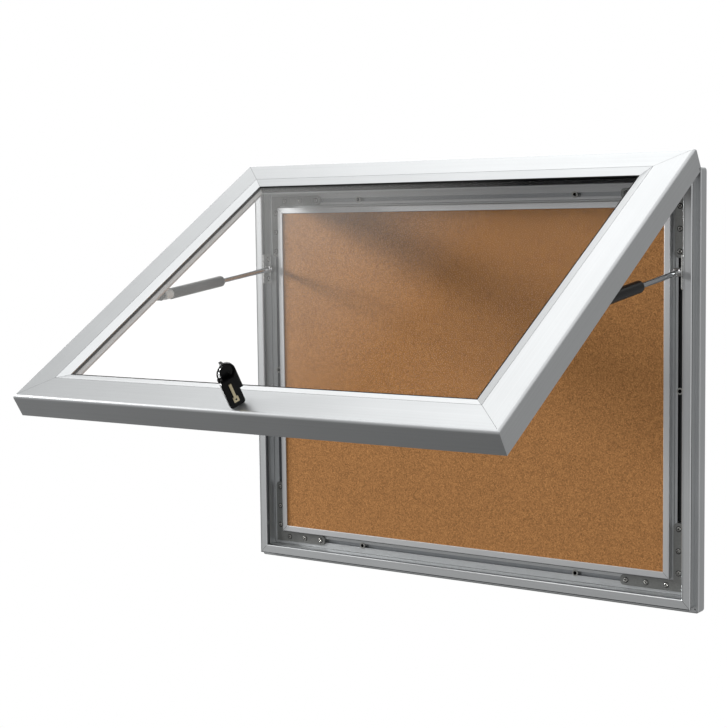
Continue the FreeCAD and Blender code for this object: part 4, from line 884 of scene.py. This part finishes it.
def studio_world():
    """White to the camera and through the pane. To light and reflections, a dim room under a lit
    ceiling with two weaker lights."""
    world = bpy.data.worlds.new("studio")
    bpy.context.scene.world = world
    world.use_nodes = True
    tree = world.node_tree
    tree.nodes.clear()
    place = add_node(tree, "ShaderNodeTexCoord").outputs["Generated"]
    axes = add_node(tree, "ShaderNodeSeparateXYZ", inputs={"Vector": place}).outputs
    height = add_node(tree, "ShaderNodeMapRange", inputs={"Value": axes["Z"], "From Min": -1.0})
    across = add_node(tree, "ShaderNodeMapRange", inputs={"Value": axes["X"], "From Min": -1.0})
    room = grey_tones(tree, height.outputs["Result"], ROOM_TONES)
    ceiling = grey_tones(tree, across.outputs["Result"], CEILING_TONES)
    above = grey_tones(tree, height.outputs["Result"], CEILING_START)
    light = add_node(tree, "ShaderNodeMix", {"data_type": "RGBA"},
                     {"Factor": above, "A": room, "B": ceiling}).outputs["Result"]
    for peak, stops in ((FILL_PEAK, FILL_TONES), (BACK_PEAK, BACK_TONES)):
        towards = add_node(tree, "ShaderNodeVectorMath", {"operation": "DOT_PRODUCT"}, {0: place, 1: peak})
        lobe = grey_tones(tree, towards.outputs["Value"], stops)
        light = add_node(tree, "ShaderNodeMix", {"data_type": "RGBA", "blend_type": "ADD"},
                         {"Factor": 1.0, "A": light, "B": lobe}).outputs["Result"]
    soft = add_node(tree, "ShaderNodeBackground", inputs={"Color": light, "Strength": SKY_STRENGTH})
    white = add_node(tree, "ShaderNodeBackground", inputs={"Color": grey(1.0), "Strength": 1.0})
    path = add_node(tree, "ShaderNodeLightPath")
    seen = add_node(tree, "ShaderNodeMath", {"operation": "ADD", "use_clamp": True},
                    {0: path.outputs["Is Camera Ray"], 1: path.outputs["Is Transmission Ray"]})
    mix = add_node(tree, "ShaderNodeMixShader",
                   inputs={0: seen.outputs["Value"], 1: soft.outputs["Background"],
                           2: white.outputs["Background"]})
    add_node(tree, "ShaderNodeOutputWorld", inputs={"Surface": mix.outputs["Shader"]})


class BOARD_OT_stage(bpy.types.Operator):
    """Set up the camera, the lamp and the white surroundings"""
    bl_idname = "board.stage"
    bl_label = "Studio"

    def execute(self, context):
        context.scene.unit_settings.system = "METRIC"
        context.scene.view_settings.view_transform = "Standard"
        studio_camera()
        studio_world()
        soft_box("key_lamp", LAMP_PLACE, LAMP_TARGET, LAMP_SIZE, LAMP_WATTS)
        return {"FINISHED"}


class BOARD_PT_pieces(bpy.types.Panel):
    """The pieces of the notice board, in the order in which they are dressed"""
    bl_idname = "BOARD_PT_pieces"
    bl_label = "Notice board"
    bl_space_type = "VIEW_3D"
    bl_region_type = "UI"
    bl_category = "Notice board"

    def draw(self, context):
        for piece in PIECES:
            self.layout.operator(piece.bl_idname)
        for group in (context.scene.board_colours, context.scene.board_sizes):
            for name in group.bl_rna.properties.keys():
                if name not in ("rna_type", "name"):
                    self.layout.prop(group, name)


PIECES = (BOARD_OT_case, BOARD_OT_panel, BOARD_OT_brackets, BOARD_OT_door, BOARD_OT_struts, BOARD_OT_lock,
          BOARD_OT_stage)
CLASSES = (BoardColours, BoardSizes, *PIECES, BOARD_PT_pieces)


def register():
    for item in CLASSES:
        bpy.utils.register_class(item)
    bpy.types.Scene.board_colours = bpy.props.PointerProperty(type=BoardColours)
    bpy.types.Scene.board_sizes = bpy.props.PointerProperty(type=BoardSizes)


def unregister():
    del bpy.types.Scene.board_colours
    del bpy.types.Scene.board_sizes
    for item in reversed(CLASSES):
        bpy.utils.unregister_class(item)


def main():
    register()
    for piece in PIECES:
        group, name = piece.bl_idname.split(".")
        getattr(getattr(bpy.ops, group), name)()


if __name__ == "__main__":
    main()
